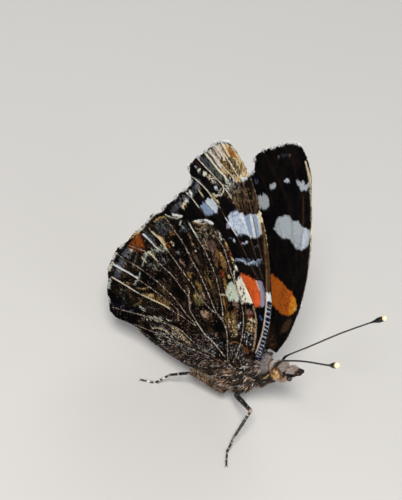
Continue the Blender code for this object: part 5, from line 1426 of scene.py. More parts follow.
def tube_grid(line, radii, sides, heights=None):
    """Rings round a line, as an array of rows, sides and 3, turning as little as they can."""
    line = np.asarray(line, float)
    radii = np.broadcast_to(radii, len(line))
    heights = radii if heights is None else np.broadcast_to(heights, len(line))
    heading = unit(np.gradient(line, axis=0))
    across = np.array((0.0, 1.0, 0.0))
    turn = 2 * np.pi * np.arange(sides) / sides
    rings = []
    for centre, forward, radius, height in zip(line, heading, radii, heights):
        across = unit(across - forward * (across @ forward))
        up = np.cross(forward, across)
        rings.append(centre + radius * np.cos(turn)[:, None] * across + height * np.sin(turn)[:, None] * up)
    return np.array(rings)


def closed_tube(grid):
    """A grid's points with a middle point for each end, and its triangles."""
    rows, sides = grid.shape[:2]
    vertices = np.vstack((grid.reshape(-1, 3), grid[0].mean(0), grid[-1].mean(0)))
    return vertices, grid_faces(rows, sides)


def tube_rows(rows, sides):
    """The row of each point that closed_tube gives."""
    return np.concatenate((np.repeat(np.arange(rows), sides), (0, rows - 1)))


def scatter(grid, count, rng, weight=None):
    """Random places on a tube: point, normal, direction along it, and its place down and round it (0 to 1)."""
    rows, sides = grid.shape[:2]
    around = np.concatenate((grid, grid[:, :1]), axis=1)
    down = around[1:, :-1] - around[:-1, :-1]
    aside = around[:-1, 1:] - around[:-1, :-1]
    normals = np.cross(aside, down)
    size = np.linalg.norm(normals, axis=2)
    if weight is not None:
        size = size * weight((around[:-1, :-1] + around[1:, 1:]) / 2)
    cell = rng.choice(size.size, count, p=size.ravel() / size.sum())
    row, column = np.divmod(cell, sides)
    s, t = rng.random((2, count))
    point = (around[row, column] * ((1 - s) * (1 - t))[:, None]
             + around[row + 1, column] * (s * (1 - t))[:, None]
             + around[row, column + 1] * ((1 - s) * t)[:, None]
             + around[row + 1, column + 1] * (s * t)[:, None])
    places = np.stack(((row + s) / (rows - 1), (column + t) / sides), 1)
    return point, unit(normals[row, column]), unit(down[row, column]), places


# A hair's two rings: how far along it each lies and how wide it is there. Its tip is one point more.
HAIR_RINGS = (0.0, 0.5)
HAIR_WIDTHS = (1.0, 0.85)
HAIR_BEND = 0.8
HAIR_FLATNESS = (1.3, 0.8)
HAIR_FACES = np.array([(0, 2, 1)] + [
    face for corner, following in ((0, 1), (1, 2), (2, 0))
    for face in ((corner, following, 3 + following), (corner, 3 + following, 3 + corner),
                 (3 + corner, 3 + following, 6))])


def add_hair(name, roots, normals, lie, rise, lengths, widths, colours, uv_places, tips=1.35):
    """Tapered hairs as closed three-sided blades that leave at `rise` and bend over to their lie."""
    count = len(roots)
    corners = 3 * len(HAIR_RINGS) + 1
    start = unit(normals * rise[:, None] + lie * (1 - rise[:, None]))
    end = unit(start * 0.45 + lie * 0.55)
    side = unit(np.cross(start, normals + 1e-6))
    up = np.cross(side, start)
    vertices = np.zeros((count, corners, 3))
    shades = np.zeros((count, corners, 3))
    uv = np.zeros((count, corners, 2))
    # Each hair is painted dark at its root, as painted shade deep in the coat, and lighter towards its tip.
    for ring, (part, width) in enumerate(zip(HAIR_RINGS, HAIR_WIDTHS)):
        centre = roots + lengths[:, None] * (start * part + (end - start) * part ** 2 * HAIR_BEND)
        for corner in range(3):
            turn = 2 * math.pi * corner / 3 + math.pi / 2
            offset = side * math.cos(turn) * HAIR_FLATNESS[0] + up * math.sin(turn) * HAIR_FLATNESS[1]
            vertices[:, ring * 3 + corner] = centre + offset * (widths * width / 2)[:, None]
            shades[:, ring * 3 + corner] = colours * (0.3 + 1.3 * part)
            uv[:, ring * 3 + corner] = uv_places + PATCH * np.array((corner - 1, 2 * part - 1))
    vertices[:, -1] = roots + lengths[:, None] * (start + (end - start) * HAIR_BEND)
    shades[:, -1] = colours * tips
    uv[:, -1] = uv_places + PATCH * np.array((0, 1))
    faces = (np.arange(count)[:, None, None] * corners + HAIR_FACES).reshape(-1, 3)
    make_piece(name, vertices.reshape(-1, 3), faces, np.clip(shades.reshape(-1, 3), 0.0, 0.95), "hair",
               uv=uv.reshape(-1, 2))


# ---------------------------------------------------------------- trunk


TRUNK_SEED = 61
TRUNK_SIDES = 64
TRUNK_TAIL = TRUNK_SECTIONS[0][0]
SEGMENT_GROOVE = 0.1
SKIN_SHADE = 0.3
# The trunk's coats: how many hairs, from and to which x, their length, width and rise, how far their lie
# strays singly and in clumps, and whether they are the body's mixed strands.
Coat = namedtuple("Coat", "count rear front length width rise stray clump strands")
COATS = {
    "coat_abdomen": Coat(8000, -17.0, WAIST_X, 0.5, 0.065, 0.16, 0.3, 1.0, True),
    "coat_thorax": Coat(15000, WAIST_X, NECK_X - 0.9, 0.75, 0.085, 0.34, 0.3, 1.0, True),
    "coat_collar": Coat(7000, NECK_X - 1.3, NECK_X, 0.4, 0.04, 0.2, 0.13, 0.5, False),
    "coat_head": Coat(8000, NECK_X, 7.0, 0.27, 0.034, 0.3, 0.13, 0.5, False),
}


def segment_phase(x):
    """How many segments of the abdomen lie between x and the waist."""
    return (x - WAIST_X) / (TRUNK_TAIL - WAIST_X) * ABDOMEN_SEGMENTS


def eye_distance(points, margin=0.0):
    """Distance from the nearer eye's centre, where its surface, or `margin` above it, is at 1."""
    mirrored = np.column_stack((points[:, 0], np.abs(points[:, 1]), points[:, 2]))
    return np.linalg.norm((mirrored - EYE_CENTRE) / (EYE_RADII + margin), axis=1)


def coat_depth(x):
    """How far the skin lies inside the solids at x of the trunk."""
    depth = np.where(x < WAIST_X, COAT_DEPTH["abdomen"], COAT_DEPTH["thorax"])
    return depth + (COAT_DEPTH["head"] - depth) * ramp(x, NECK_X - 0.5, NECK_X + 0.3)


def trunk_grid():
    """The one skin over abdomen, thorax and head, in the trunk's frame."""
    x, middle, width, height = smooth_curve(TRUNK_SECTIONS, 6).T
    phase = segment_phase(x)
    depth = coat_depth(x)
    groove = ramp(x, WAIST_X, WAIST_X - 0.4) * SEGMENT_GROOVE * np.exp(-((phase - np.round(phase)) / 0.09) ** 2)
    width = np.maximum(width - depth - groove, 0.06)
    height = np.maximum(height - depth - groove, 0.06)
    turn = 2 * np.pi * np.arange(TRUNK_SIDES) / TRUNK_SIDES
    grid = np.zeros((len(x), TRUNK_SIDES, 3))
    grid[:, :, 0] = x[:, None]
    grid[:, :, 1] = width[:, None] * np.cos(turn)
    grid[:, :, 2] = middle[:, None] + height[:, None] * np.sin(turn)
    return grid


def trunk_colours(points):
    """Coat colours over the trunk: brown back, pinkish brown sides, grey collar and brow, pale chin."""
    x, _, z = points.T
    sections = np.array(TRUNK_SECTIONS)
    middle = np.interp(x, sections[:, 0], sections[:, 1])
    level = (z - middle) / np.interp(x, sections[:, 0], sections[:, 3])
    abdomen = x < WAIST_X
    thorax = (x > WAIST_X) & (x < NECK_X)
    head = x > NECK_X
    collar = ramp(x, 2.6, 3.1) * ramp(x, 3.98, 3.8) * ramp(level, -0.25, 0.15)
    phase = segment_phase(x)
    antenna_base = np.hypot(x - ANTENNA_BASE[0], z - ANTENNA_BASE[1])
    eye_gap = eye_distance(points)
    colour = plain("brown", len(points))
    for paint, cover in (
            ("pinkbrown", ramp(noise(x / 0.7, z / 0.45, 51), 0.4, 0.65) * 0.9),
            ("soot", ramp(noise(x / 0.6, z / 0.35, 52), 0.45, 0.6) * 0.9),
            ("fawn", ramp(noise(x / 0.4, z / 0.3, 53), 0.62, 0.75) * 0.7),
            ("umber", ramp(level, 0.45, 0.8) * 0.7 * (x < 3.0)),
            # The chest: black under its front, as painted shade, with a yellow line below.
            ("black", ramp(level, 0.15, -0.15) * thorax * ramp(x, 1.6, 2.6) * 0.9),
            ("gold", ramp(np.abs(level + 0.62), 0.09, 0.04) * thorax * ramp(x, 2.2, 2.8) * 0.7),
            # The abdomen: sooty back, fawn belly, a pale ring to each segment and a cream tip.
            ("soot", abdomen * ramp(level, 0.1, 0.45) * 0.8),
            ("fawn", abdomen * ramp(level, -0.1, -0.5) * 0.6),
            ("fawn", abdomen * ramp(np.abs(phase - np.round(phase)), 0.16, 0.06) * 0.5),
            ("cream", ramp(x, -15.0, -15.8) * 0.8),
            # The collar: grey with lighter streaks.
            ("grey", collar * 0.9),
            ("ash", collar * ramp(noise(x / 0.12, z / 0.7, 54), 0.5, 0.75) * 0.6),
            # The head: grey crown, black band through the eye, fawn chin, and pink on the brow as a painted
            # highlight.
            ("ash", head * ramp(level, 0.0, 0.25) * 0.8),
            ("black", head * ramp(level, 0.1, -0.1) * ramp(level, -0.65, -0.5) * ramp(x, 5.0, 5.3) * 0.95),
            ("fawn", head * ramp(level, -0.5, -0.65) * 0.9),
            ("pink", head * ramp(level, 0.5, 0.9) * ramp(x, 5.3, 4.9) * 0.5),
            ("fawn", head * ramp(eye_gap, 1.22, 1.08) * 0.7),
            ("black", head * ramp(antenna_base, 0.32, 0.15) * 0.8)):
        blend(colour, paint, cover)
    return colour


def trunk_lie(points, normals):
    """The way the trunk's hair lies: back along the body and down its sides."""
    x, _, z = points.T
    head = x > NECK_X
    back = np.zeros_like(points)
    back[:, 0] = -1.0
    back[:, 2] = -0.35 * (x < NECK_X) * (x > WAIST_X)
    back[head] = (0.45, 0.0, 0.5)
    back[head & (x > BROW_X) & (z > 0.8)] = (1.0, 0.0, 0.25)
    back[head & (z < 0.4)] = (0.35, 0.0, -1.0)
    return unit(back - normals * (back * normals).sum(1, keepdims=True))


def strand_colours(colours, points, normals, strand):
    """The body's hair: dark, brown, fawn and pink strands, lighter in locks, and darker between them and under
    the chest as painted shade.
    """
    x, y, z = points.T
    colours = np.where(strand < 0.57, colours * 0.04, colours * (1.25, 1.08, 0.92))
    colours = np.where(strand > 0.8, 0.3 * colours + 0.7 * PAINTS["fawn"], colours)
    colours = np.where(strand > 0.92, PAINTS["pink"], colours)
    # Painted shade: the hair is darker in the gaps between locks, and darker still on the lower part of the
    # chest.
    locks = ramp(noise((x + 0.5 * z) / 0.55, z / 0.24 + y / 0.5, 57), 0.38, 0.6)
    chest = ramp(x, 1.8, 2.6) * ramp(normals[:, 2], 0.35, 0.0)
    return colours * (0.16 + 1.15 * locks)[:, None] * (1.0 - 0.8 * chest)[:, None]


def on_belly(points, normals):
    """Which places are on the abdomen's lower half."""
    return (points[:, 0] < WAIST_X) & (normals[:, 2] < 0.1)


def local_lengths(lengths, points, normals):
    """Lengths of the trunk's hair: more at brow, chin and rear chest, less on the belly and round the eyes."""
    x, y, z = points.T
    brow = (x > BROW_X) & (z > 0.9) & (np.abs(y) < 0.8)
    chin = (x > CHIN_X) & (z < 0.1)
    low_rear = (x > WAIST_X) & (x < 1.0) & (normals[:, 2] < -0.2)
    lengths = lengths * np.where(brow, 2.8, np.where(chin, 2.6, 1.0))
    lengths = lengths * np.where(low_rear, 1.5, np.where(on_belly(points, normals), 0.6, 1.0))
    return lengths * np.where(eye_distance(points) < 1.35, 0.6, 1.0)


def add_trunk():
    """The skin, and its hair in a piece for each of abdomen, thorax, collar and head."""
    grid = trunk_grid()
    vertices, faces = closed_tube(grid)
    make_piece("trunk_skin", from_trunk(vertices), faces[:, ::-1], trunk_colours(vertices) * SKIN_SHADE, "skin",
               ("thorax", "abdomen", "head"))
    rng = np.random.default_rng(TRUNK_SEED)
    for name, coat in COATS.items():
        points, normals, _, places = scatter(
            grid, coat.count, rng, lambda place: (place[..., 0] > coat.rear) & (place[..., 0] < coat.front))
        if (normals * (points - (0, 0, 1))).sum(1).mean() < 0:
            normals = -normals
        kept = eye_distance(points, 0.05) > 1.0
        points, normals, places = points[kept], normals[kept], places[kept]
        x, _, z = points.T
        clump = np.stack([noise(x / 0.5, z / 0.5, 81 + axis) - 0.5 for axis in range(3)], 1)
        lie = unit(trunk_lie(points, normals) + rng.normal(0.0, coat.stray, points.shape) + clump * coat.clump)
        strand = rng.random(len(points))[:, None]
        colours = unevenly(trunk_colours(points), 0.4, rng)
        lengths = coat.length * rng.uniform(0.55, 1.3, len(points))
        if coat.strands:
            colours = strand_colours(colours, points, normals, strand)
            lengths = lengths * np.where(strand[:, 0] < 0.5, 0.85, 1.1)
        lengths = local_lengths(lengths, points, normals)
        # Painted shade under the abdomen: the hair of its lower half is darkened, but for a few pale strands.
        pale = rng.random(len(points)) < 0.12
        colours[on_belly(points, normals) & ~pale] *= 0.25
        rises = np.clip(rng.normal(coat.rise, 0.1, len(points)), 0.03, 0.8)
        add_hair(name, from_trunk(points), normals @ TURN.T, lie @ TURN.T, rises, lengths,
                 coat.width * rng.uniform(0.7, 1.2, len(points)), colours, on_map(places))


# Hair over a wing's root: how many, how far it reaches, and the seam on the wing it grows along.
BASE_HAIR_SEED = 91
BASE_HAIR = {
    "forewing": (900, 2.0, ((0.6, -0.8), (1.2, 0.6))),
    "hindwing": (3600, 3.0, ((0.3, -1.0), (0.3, 3.0), (0.5, 7.5), (1.6, 10.5))),
}
# Which share of the hairs near to the seam, and of those far from it, takes which paint; the rest is black.
NEAR_PAINTS = (("umber", 0.4, 0.5), ("pinkbrown", 0.5, 0.65), ("fawn", 0.65, 0.8), ("pink", 0.8, 0.86))
FAR_PAINTS = (("grey", 0.5, 0.62), ("ivory", 0.62, 0.72), ("fawn", 0.72, 0.76))
# A golden tuft and a row of pale dashes at the hindwing's shoulder.
GOLD_TUFT = (0.75, -2.5)
PALE_DASHES = ((0.7, -0.6), (1.0, -1.6))


def base_hair_colours(wing, places, seam, rng):
    """Colours of the hair over a wing's root."""
    colour = plain("black", len(places))
    draw = rng.random(len(places))
    near = line_distance(places, seam)[0] < 0.9 + 0.6 * rng.random(len(places))
    for paints, where in ((NEAR_PAINTS, near), (FAR_PAINTS, ~near)):
        for paint, low, high in paints:
            colour[(draw > low) & (draw < high) & where] = PAINTS[paint]
    if wing.kind == "hindwing":
        colour[np.linalg.norm(places - GOLD_TUFT, axis=1) < 0.55] = PAINTS["gold"]
        dashes = line_distance(places, np.array(PALE_DASHES))[0] < 0.35
        colour[dashes & (draw > 0.4)] = PAINTS["ivory"]
    return unevenly(colour, 0.3, rng)


def add_wing_base_hair(wing):
    """Long hair over a wing's root, thinning out along it, and drooping from its lower edge."""
    rng = np.random.default_rng(BASE_HAIR_SEED + wing.side)
    count, reach, seam = BASE_HAIR[wing.kind]
    seam = np.array(seam)
    places = rng.uniform(wing.outline.min(0), wing.outline.max(0), (count * 14, 2))
    places = places[inside(places, wing.outline)]
    gap = line_distance(places, seam)[0]
    places = places[gap < reach * rng.random(len(places)) ** 2][:count]
    count = len(places)
    sign = 1 if wing.side == RIGHT else -1
    height, half = wing.relief(places)
    droop = ramp(places[:, 0], 1.6, 0.4)[:, None] * (rng.random(count) < 0.7)[:, None]
    heading = unit(wing.out_lie(places) * (1 - droop) + droop * np.array((-0.75, 0.7))
                   + rng.normal(0.0, 0.25, places.shape))
    colours = base_hair_colours(wing, places, seam, rng)
    add_hair(f"{wing.name}_base_hair", wing.place(places, height + sign * half), wing.face_normals(sign, count),
             wing.directions(heading), rng.uniform(0.06, 0.22, count), rng.uniform(0.3, 0.75, count),
             rng.uniform(0.035, 0.055, count), colours, fitted_uv(places), tips=1.4)


# ---------------------------------------------------------------- eyes, palps, tongue and feelers


EYE_ROWS = 40
EYE_SIDES = 56
EYE_POLE = 0.02


def add_eyes():
    """The compound eyes, amber with dark flecks."""
    polar = np.linspace(EYE_POLE, np.pi - EYE_POLE, EYE_ROWS)
    turn = 2 * np.pi * np.arange(EYE_SIDES) / EYE_SIDES
    grid = np.zeros((EYE_ROWS, EYE_SIDES, 3))
    grid[:, :, 0] = np.sin(polar)[:, None] * np.cos(turn)
    grid[:, :, 1] = np.cos(polar)[:, None]
    grid[:, :, 2] = np.sin(polar)[:, None] * np.sin(turn)
    for side, word in SIDE_WORDS.items():
        vertices, faces = closed_tube(grid * EYE_RADII * (1, side, 1))
        x, y, z = vertices.T
        fleck = ramp(noise(x / 0.1 + 5, z / 0.16 + 5, 58) + 0.2 * ramp(z - 0.5 * x, -0.2, 0.5), 0.52, 0.64)
        colour = plain("eye", len(vertices))
        blend(colour, "eye_fleck", fleck * 0.85)
        blend(colour, "eye_light", ramp(x - z, 0.0, 0.6) * (1 - fleck) * 0.6)
        blend(colour, "eye_rim", ramp(np.abs(y), 0.32, 0.16) * 0.8)
        if side == LEFT:
            faces = faces[:, ::-1]
        make_piece(f"eye_{word}_facets", from_trunk(vertices + EYE_CENTRE * (1, side, 1)), faces, colour, "eye",
                   ("eye_" + word,))


PALP_SEED = 101
PALP_SIDES = 20
PALP_HAIRS = 3600
PALP_SHADE = 0.6
# The broad part ends at this x; the dark ring is round this x and z.
PALP_ROOT_END = 6.9
PALP_TIP = (7.85, 0.8)


def palp_colours(points, level, tip):
    """Grey above, black on the flank, fawn below, and a brown tip with a black ring."""
    tip_gap = np.hypot(points[:, 0] - PALP_TIP[0], 1.2 * (points[:, 2] - PALP_TIP[1]))
    colour = 0.75 * plain("ash", len(points))
    blend(colour, "black", ramp(level, 0.25, 0.05))
    blend(colour, "fawn", ramp(level, -0.85, -0.95) * (1 - tip))
    blend(colour, "brown", tip * 0.9)
    blend(colour, "black", tip * ramp(np.abs(tip_gap - 0.27), 0.14, 0.06))
    return colour


def add_palps():
    """The palps: broad grey brushes with a dark flank and a thin dark tip."""
    rng = np.random.default_rng(PALP_SEED)
    x, middle, width, height = smooth_curve(PALP_SECTIONS, 6).T
    apart = PALP_OFFSET - PALP_LEAN * ramp(x, PALP_ROOT_END, x[-1])
    for side, word in SIDE_WORDS.items():
        centre = np.stack((x, side * apart, middle), 1)
        grid = tube_grid(centre, width * 0.8, PALP_SIDES, height * 0.85)
        vertices, faces = closed_tube(grid)
        level = (vertices[:, 2] - np.interp(vertices[:, 0], x, middle)) / np.interp(vertices[:, 0], x, height)
        tint = plain("grey", len(vertices))
        blend(tint, "black", ramp(level, 0.0, -0.4))
        make_piece(f"palp_{word}_core", from_trunk(vertices), faces, tint * PALP_SHADE, "skin",
                   ("palp_" + word,))
        points, _, _, places = scatter(grid, PALP_HAIRS, rng)
        outward = points - np.stack([np.interp(points[:, 0], x, values) for values in centre.T], 1)
        level = outward[:, 2] / np.interp(points[:, 0], x, height)
        tip = ramp(points[:, 0], 7.25, 7.45)
        colour = unevenly(palp_colours(points, level, tip), 0.3, rng)
        crest = (level > 0.15) & (points[:, 0] < PALP_ROOT_END)
        beard = (level < -0.82) & (points[:, 0] < PALP_ROOT_END)
        colour[beard] = PAINTS["fawn"] * rng.uniform(0.15, 0.7, (beard.sum(), 1))
        lie = np.tile((1.0, 0.0, 0.12), (len(points), 1))
        lie[beard] = (0.15, 0.0, -1.0)
        lie = unit(lie + rng.normal(0.0, 0.14, points.shape))
        lengths = rng.uniform(0.2, 0.34, len(points))
        lengths *= np.where(beard, 1.6, np.where(crest, 1.3, 1.0 - 0.4 * tip))
        rises = np.clip(rng.normal(np.where(crest, 0.4, 0.14), 0.05), 0.02, 0.6)
        add_hair(f"palp_{word}_coat", from_trunk(points), unit(outward) @ TURN.T, lie @ TURN.T, rises, lengths,
                 rng.uniform(0.028, 0.04, len(points)), colour, on_map(places))


COIL_TURNS = 2.6
COIL_RADIUS = 0.4
# How much closer to its middle the coil comes with each turn.
COIL_CLOSING = 0.13
COIL_POINTS = 110
COIL_SIDES = 10


def add_proboscis():
    """The coiled tongue under the palps."""
    angle = np.linspace(0.0, COIL_TURNS * 2 * np.pi, COIL_POINTS)
    radius = COIL_RADIUS - COIL_CLOSING * angle / (2 * np.pi)
    line = COIL_CENTRE + np.stack((radius * np.cos(angle), 0.02 * np.sin(angle * 3), radius * np.sin(angle)), 1)
    vertices, faces = closed_tube(tube_grid(line, np.linspace(0.085, 0.05, COIL_POINTS), COIL_SIDES))
    row = np.repeat(np.arange(COIL_POINTS), COIL_SIDES)
    tint = plain("chocolate", len(vertices))
    tint[:len(row)] *= np.where(row % 4 < 2, 1.3, 0.8)[:, None]
    make_piece("proboscis_coil", from_trunk(vertices), faces, tint, "chitin", ("proboscis",))


ANTENNA_PITCH = 0.06
ANTENNA_SIDES = 12
ANTENNA_RADIUS = 0.112
ANTENNA_SEGMENT = 0.3
# The club begins at this part of the feeler's length and adds this much to its radius.
CLUB_START = 0.86
CLUB_RADIUS = 0.24


def add_antennae():
    """Feelers of many small joints, each with a pale ring, and clubs with a cream tip."""
    for side, word in SIDE_WORDS.items():
        line = spaced(smooth_curve(ANTENNAE[side], 16), ANTENNA_PITCH)
        along = np.linspace(0.0, 1.0, len(line))
        length = len(line) * ANTENNA_PITCH
        joint = np.mod(along * length / ANTENNA_SEGMENT, 1.0)
        club = ramp(along, CLUB_START, 0.94) * (1.0 - 0.75 * ramp(along, 0.985, 1.0))
        radii = ANTENNA_RADIUS + 0.012 * np.sin(2 * np.pi * joint) + CLUB_RADIUS * club
        radii = radii + 0.06 * ramp(along, 0.09, 0.03)
        vertices, faces = closed_tube(tube_grid(line, radii, ANTENNA_SIDES))
        row = tube_rows(len(line), ANTENNA_SIDES)
        part = along[row]
        ring = (joint[row] < 0.22) & (part < CLUB_START) & (part > 0.02)
        below = ramp(vertices[:, 2] - line[row][:, 2], 0.05, -0.04)
        tint = plain("black", len(vertices))
        blend(tint, "ivory", ring * (0.12 + 0.6 * below) * ramp(part, 0.08, 0.14))
        blend(tint, "ochre", ramp(part, 0.962, 0.968) * 0.8)
        blend(tint, "cream", ramp(part, 0.968, 0.974))
        make_piece(f"antenna_{word}_jointed", from_trunk(vertices), faces, tint, "chitin",
                   (f"antenna_{word}", f"antenna_club_{word}"))


# ---------------------------------------------------------------- legs


LEG_SEED = 111
# The walking legs: how high the foot's middle line lies, how its bends are cut, and the tube's rows and sides.
FOOT_HEIGHT = 0.17
KNEE_BEND = 0.12
LEG_PITCH = 0.09
LEG_SIDES = 12
TARSUS_JOINTS = 5
# Radii at the coxa, hip, mid femur, knee, below it, mid tibia, ankle, below it, sole, claw joint and tip.
LEG_RADII = (0.34, 0.32, 0.3, 0.2, 0.19, 0.2, 0.16, 0.13, 0.13, 0.12, 0.07)
# A claw's centre line from the foot's tip: ahead, aside and up.
CLAW = ((-0.1, 0.0, 0.0), (0.12, 0.12, 0.02), (0.22, 0.2, -0.08), (0.22, 0.24, -0.155))
# Hair of a femur: its count, ground paint, up to which draw it is black and from which it is pale, the pale
# paint, how far its lie strays and rises, its rise and that rise's spread, its lengths and its widths.
FemurHair = namedtuple("FemurHair", "count ground dark_to pale_from pale stray upward rise rise_spread "
                                    "lengths widths")
FEMUR_HAIR = {
    "midleg": FemurHair(900, "black", 0.0, 0.94, "ivory", 0.15, 0.0, 0.16, 0.06, (0.16, 0.3), (0.03, 0.05)),
    "hindleg": FemurHair(2600, "brown", 0.45, 0.78, "fawn", 0.4, 0.5, 0.32, 0.1, (0.4, 0.9), (0.03, 0.075)),
}
TARSUS_PALENESS = {"midleg": 0.35, "hindleg": 0.85}


def leg_line(hip, knee, ankle, sole, tip):
    """A leg's centre line from inside the chest to its tip, and the row nearest to each of its corners."""
    route = [np.array(point) for point in (hip, knee, ankle, (*sole, FOOT_HEIGHT), (*tip, FOOT_HEIGHT))]
    coxa = route[0] * (1.0, 0.45, 1.0) + (0.35, 0.0, 1.3)
    bends = [coxa, route[0]]
    for before, corner, after in zip(route[:-2], route[1:-1], route[2:]):
        bends += [corner + KNEE_BEND * unit(before - corner), corner + KNEE_BEND * unit(after - corner)]
    line = spaced(np.array(bends + route[-1:]), LEG_PITCH)
    return line, [np.linalg.norm(line - corner, axis=1).argmin() for corner in route]


def leg_radii(count, hip, knee, ankle, sole, tip):
    """A leg's radius at each row, with a swelling at each joint of the tarsus."""
    rows = np.arange(count)
    stations = (0, hip, (hip + knee) / 2, knee, knee + 3, (knee + ankle) / 2, ankle, ankle + 3, sole,
                tip - 2, tip)
    tarsus = (rows - ankle) / max(tip - ankle, 1)
    joint = np.mod(np.clip(tarsus, 0, 0.999) * TARSUS_JOINTS, 1.0)
    return np.interp(rows, stations, LEG_RADII) + np.where(tarsus > 0, 0.035 * ramp(joint, 0.6, 0.95), 0.0)


def leg_tint(points, rows, leg, side, knee, ankle, tip):
    """Black with white specks, a fawn knee and ankle, and pale rings at the joints of the tarsus."""
    x, y, z = points.T
    tint = plain("black", len(points))
    blend(tint, "ivory", ramp(noise(x / 0.2 + z / 0.27, y / 0.2 + z / 0.18, 57 + side), 0.8, 0.9) * 0.8)
    bands = [(knee, 2.6, "fawn", 0.9), (ankle, 1.6, "fawn", 0.5)]
    bands += [(ankle + (tip - ankle) * joint / TARSUS_JOINTS, 1.8, "ivory", TARSUS_PALENESS[leg])
              for joint in range(1, TARSUS_JOINTS)]
    for place, width, paint, strength in bands:
        blend(tint, paint, ramp(np.abs(rows - place), width, width * 0.6) * strength)
    return tint


def claws(sole, tip):
    """The two hooks at a foot's tip."""
    ahead = unit(np.array((tip[0] - sole[0], tip[1] - sole[1], 0.0)))
    aside = np.array((-ahead[1], ahead[0], 0.0))
    end = np.array((*tip, FOOT_HEIGHT))
    for sign in (-1, 1):
        hook = [end + forth * ahead + sign * out * aside + (0, 0, up) for forth, out, up in CLAW]
        vertices, faces = closed_tube(tube_grid(smooth_curve(hook, 3), np.linspace(0.05, 0.012, 10), 6))
        yield vertices, faces, plain("chocolate", len(vertices))


def spines(line, radii, rows, rng):
    """Two short spines at each of the given rows of a leg, pointing to its tip."""
    for row in rows:
        heading = unit(line[row + 1] - line[row - 1])
        for turn in rng.uniform(0, 2 * np.pi, 2):
            out = unit(np.cross(heading, (math.cos(turn), math.sin(turn), 0.3)))
            tip = line[row] + out * (radii[row] + 0.14) + heading * 0.26
            tip[2] = max(tip[2], 0.02)
            root = line[row] + out * radii[row] * 0.7
            vertices, faces = closed_tube(tube_grid(np.linspace(root, tip, 3), (0.035, 0.025, 0.008), 5))
            yield vertices, faces, plain("black", len(vertices))


def add_femur_hair(name, femur, line, hair, rng):
    """The hair of a femur, given as its grid and its part of the leg's line."""
    points, _, along, places = scatter(femur, hair.count, rng)
    count = len(points)
    normals = unit(points - line[(places[:, 0] * (len(femur) - 1)).astype(int)])
    colour = unevenly(plain(hair.ground, count), 0.6, rng)
    draw = rng.random(count)
    colour[draw < hair.dark_to] = PAINTS["black"]
    colour[draw > hair.pale_from] = PAINTS[hair.pale]
    lie = along + rng.normal(0.0, hair.stray, points.shape) + (0.0, 0.0, hair.upward)
    rises = np.clip(rng.normal(hair.rise, hair.rise_spread, count), 0.02, 0.7)
    add_hair(name, points + STANCE_PLACE, normals, unit(lie), rises, rng.uniform(*hair.lengths, count),
             rng.uniform(*hair.widths, count), colour, on_map(places))


def add_legs(rng):
    """The four walking legs, each one piece with spines and claws, and the hair of its femur."""
    for (leg, side), (hip, knee, ankle, sole, tip) in LEGS.items():
        word = SIDE_WORDS[side]
        line, corners = leg_line(hip, knee, ankle, sole, tip)
        hip_row, knee_row, ankle_row, _, tip_row = corners
        radii = leg_radii(len(line), *corners)
        grid = tube_grid(line, radii, LEG_SIDES)
        grid[:, :, 2] = np.maximum(grid[:, :, 2], 0.0)
        vertices, faces = closed_tube(grid)
        rows = tube_rows(len(line), LEG_SIDES)
        tint = leg_tint(vertices, rows, leg, side, knee_row, ankle_row, tip_row)
        parts = [(vertices, faces, tint), *claws(sole, tip),
                 *spines(line, radii, range(knee_row + 4, tip_row - 2, 4), rng)]
        vertices, faces, tint = joined(parts)
        make_piece(f"{leg}_{word}_whole", vertices + STANCE_PLACE, faces, tint, "chitin",
                   [f"{leg}_{part}_{word}" for part in ("femur", "tibia", "tarsus")])
        femur = slice(hip_row, knee_row)
        add_femur_hair(f"{leg}_{word}_hair", grid[femur], line[femur], FEMUR_HAIR[leg], rng)


FORELEG_PITCH = 0.08
FORELEG_SIDES = 10
FORELEG_HAIRS = 1300
FORELEG_RADII = ((0.0, 0.14), (0.3, 0.17), (0.7, 0.15), (1.0, 0.08))


def add_forelegs(rng):
    """The two small forelegs, held against the chest like brushes."""
    for side, word in SIDE_WORDS.items():
        line = spaced(smooth_curve(np.array(FORELEG_POINTS) * (1, side, 1), 6), FORELEG_PITCH)
        radii = np.interp(np.linspace(0, 1, len(line)), *np.transpose(FORELEG_RADII))
        grid = tube_grid(line, radii, FORELEG_SIDES)
        vertices, faces = closed_tube(grid)
        make_piece(f"foreleg_{word}_core", from_trunk(vertices), faces, plain("chocolate", len(vertices)),
                   "chitin", ("foreleg_" + word,))
        points, _, along, places = scatter(grid, FORELEG_HAIRS, rng)
        count = len(points)
        centre = line[(places[:, 0] * (len(line) - 1)).astype(int)]
        colour = unevenly(plain("umber", count), 0.4, rng)
        colour[(rng.random(count) < 0.3) & (points[:, 2] < centre[:, 2])] = PAINTS["fawn"]
        add_hair(f"foreleg_{word}_brush", from_trunk(points), unit(points - centre) @ TURN.T,
                 unit(along + rng.normal(0.0, 0.2, points.shape)) @ TURN.T,
                 np.clip(rng.normal(0.2, 0.08, count), 0.02, 0.6), rng.uniform(0.18, 0.34, count),
                 rng.uniform(0.028, 0.04, count), colour, on_map(places))


# ---------------------------------------------------------------- stage


FLOOR_HALF = 0.6
FLOOR_COLOURS = ((0.5, 0.49, 0.475, 1.0), (0.55, 0.54, 0.525, 1.0))
# Each light's place in metres, size, power and colour. The key stands above, in front and to the right.
LIGHTS = {
    "key": ((0.1, -0.28, 0.42), 0.14, 3.05, (1.0, 0.97, 0.92)),
    "fill": ((0.42, -0.18, 0.2), 0.3, 0.6, (0.93, 0.96, 1.0)),
    "back": ((-0.1, 0.4, 0.3), 0.3, 0.6, (1.0, 1.0, 1.0)),
}
LIGHT_AIM = (0.0, 0.0, 0.015)
SURROUND_COLOUR = (0.9, 0.93, 1.0, 1.0)
SURROUND_STRENGTH = 0.32


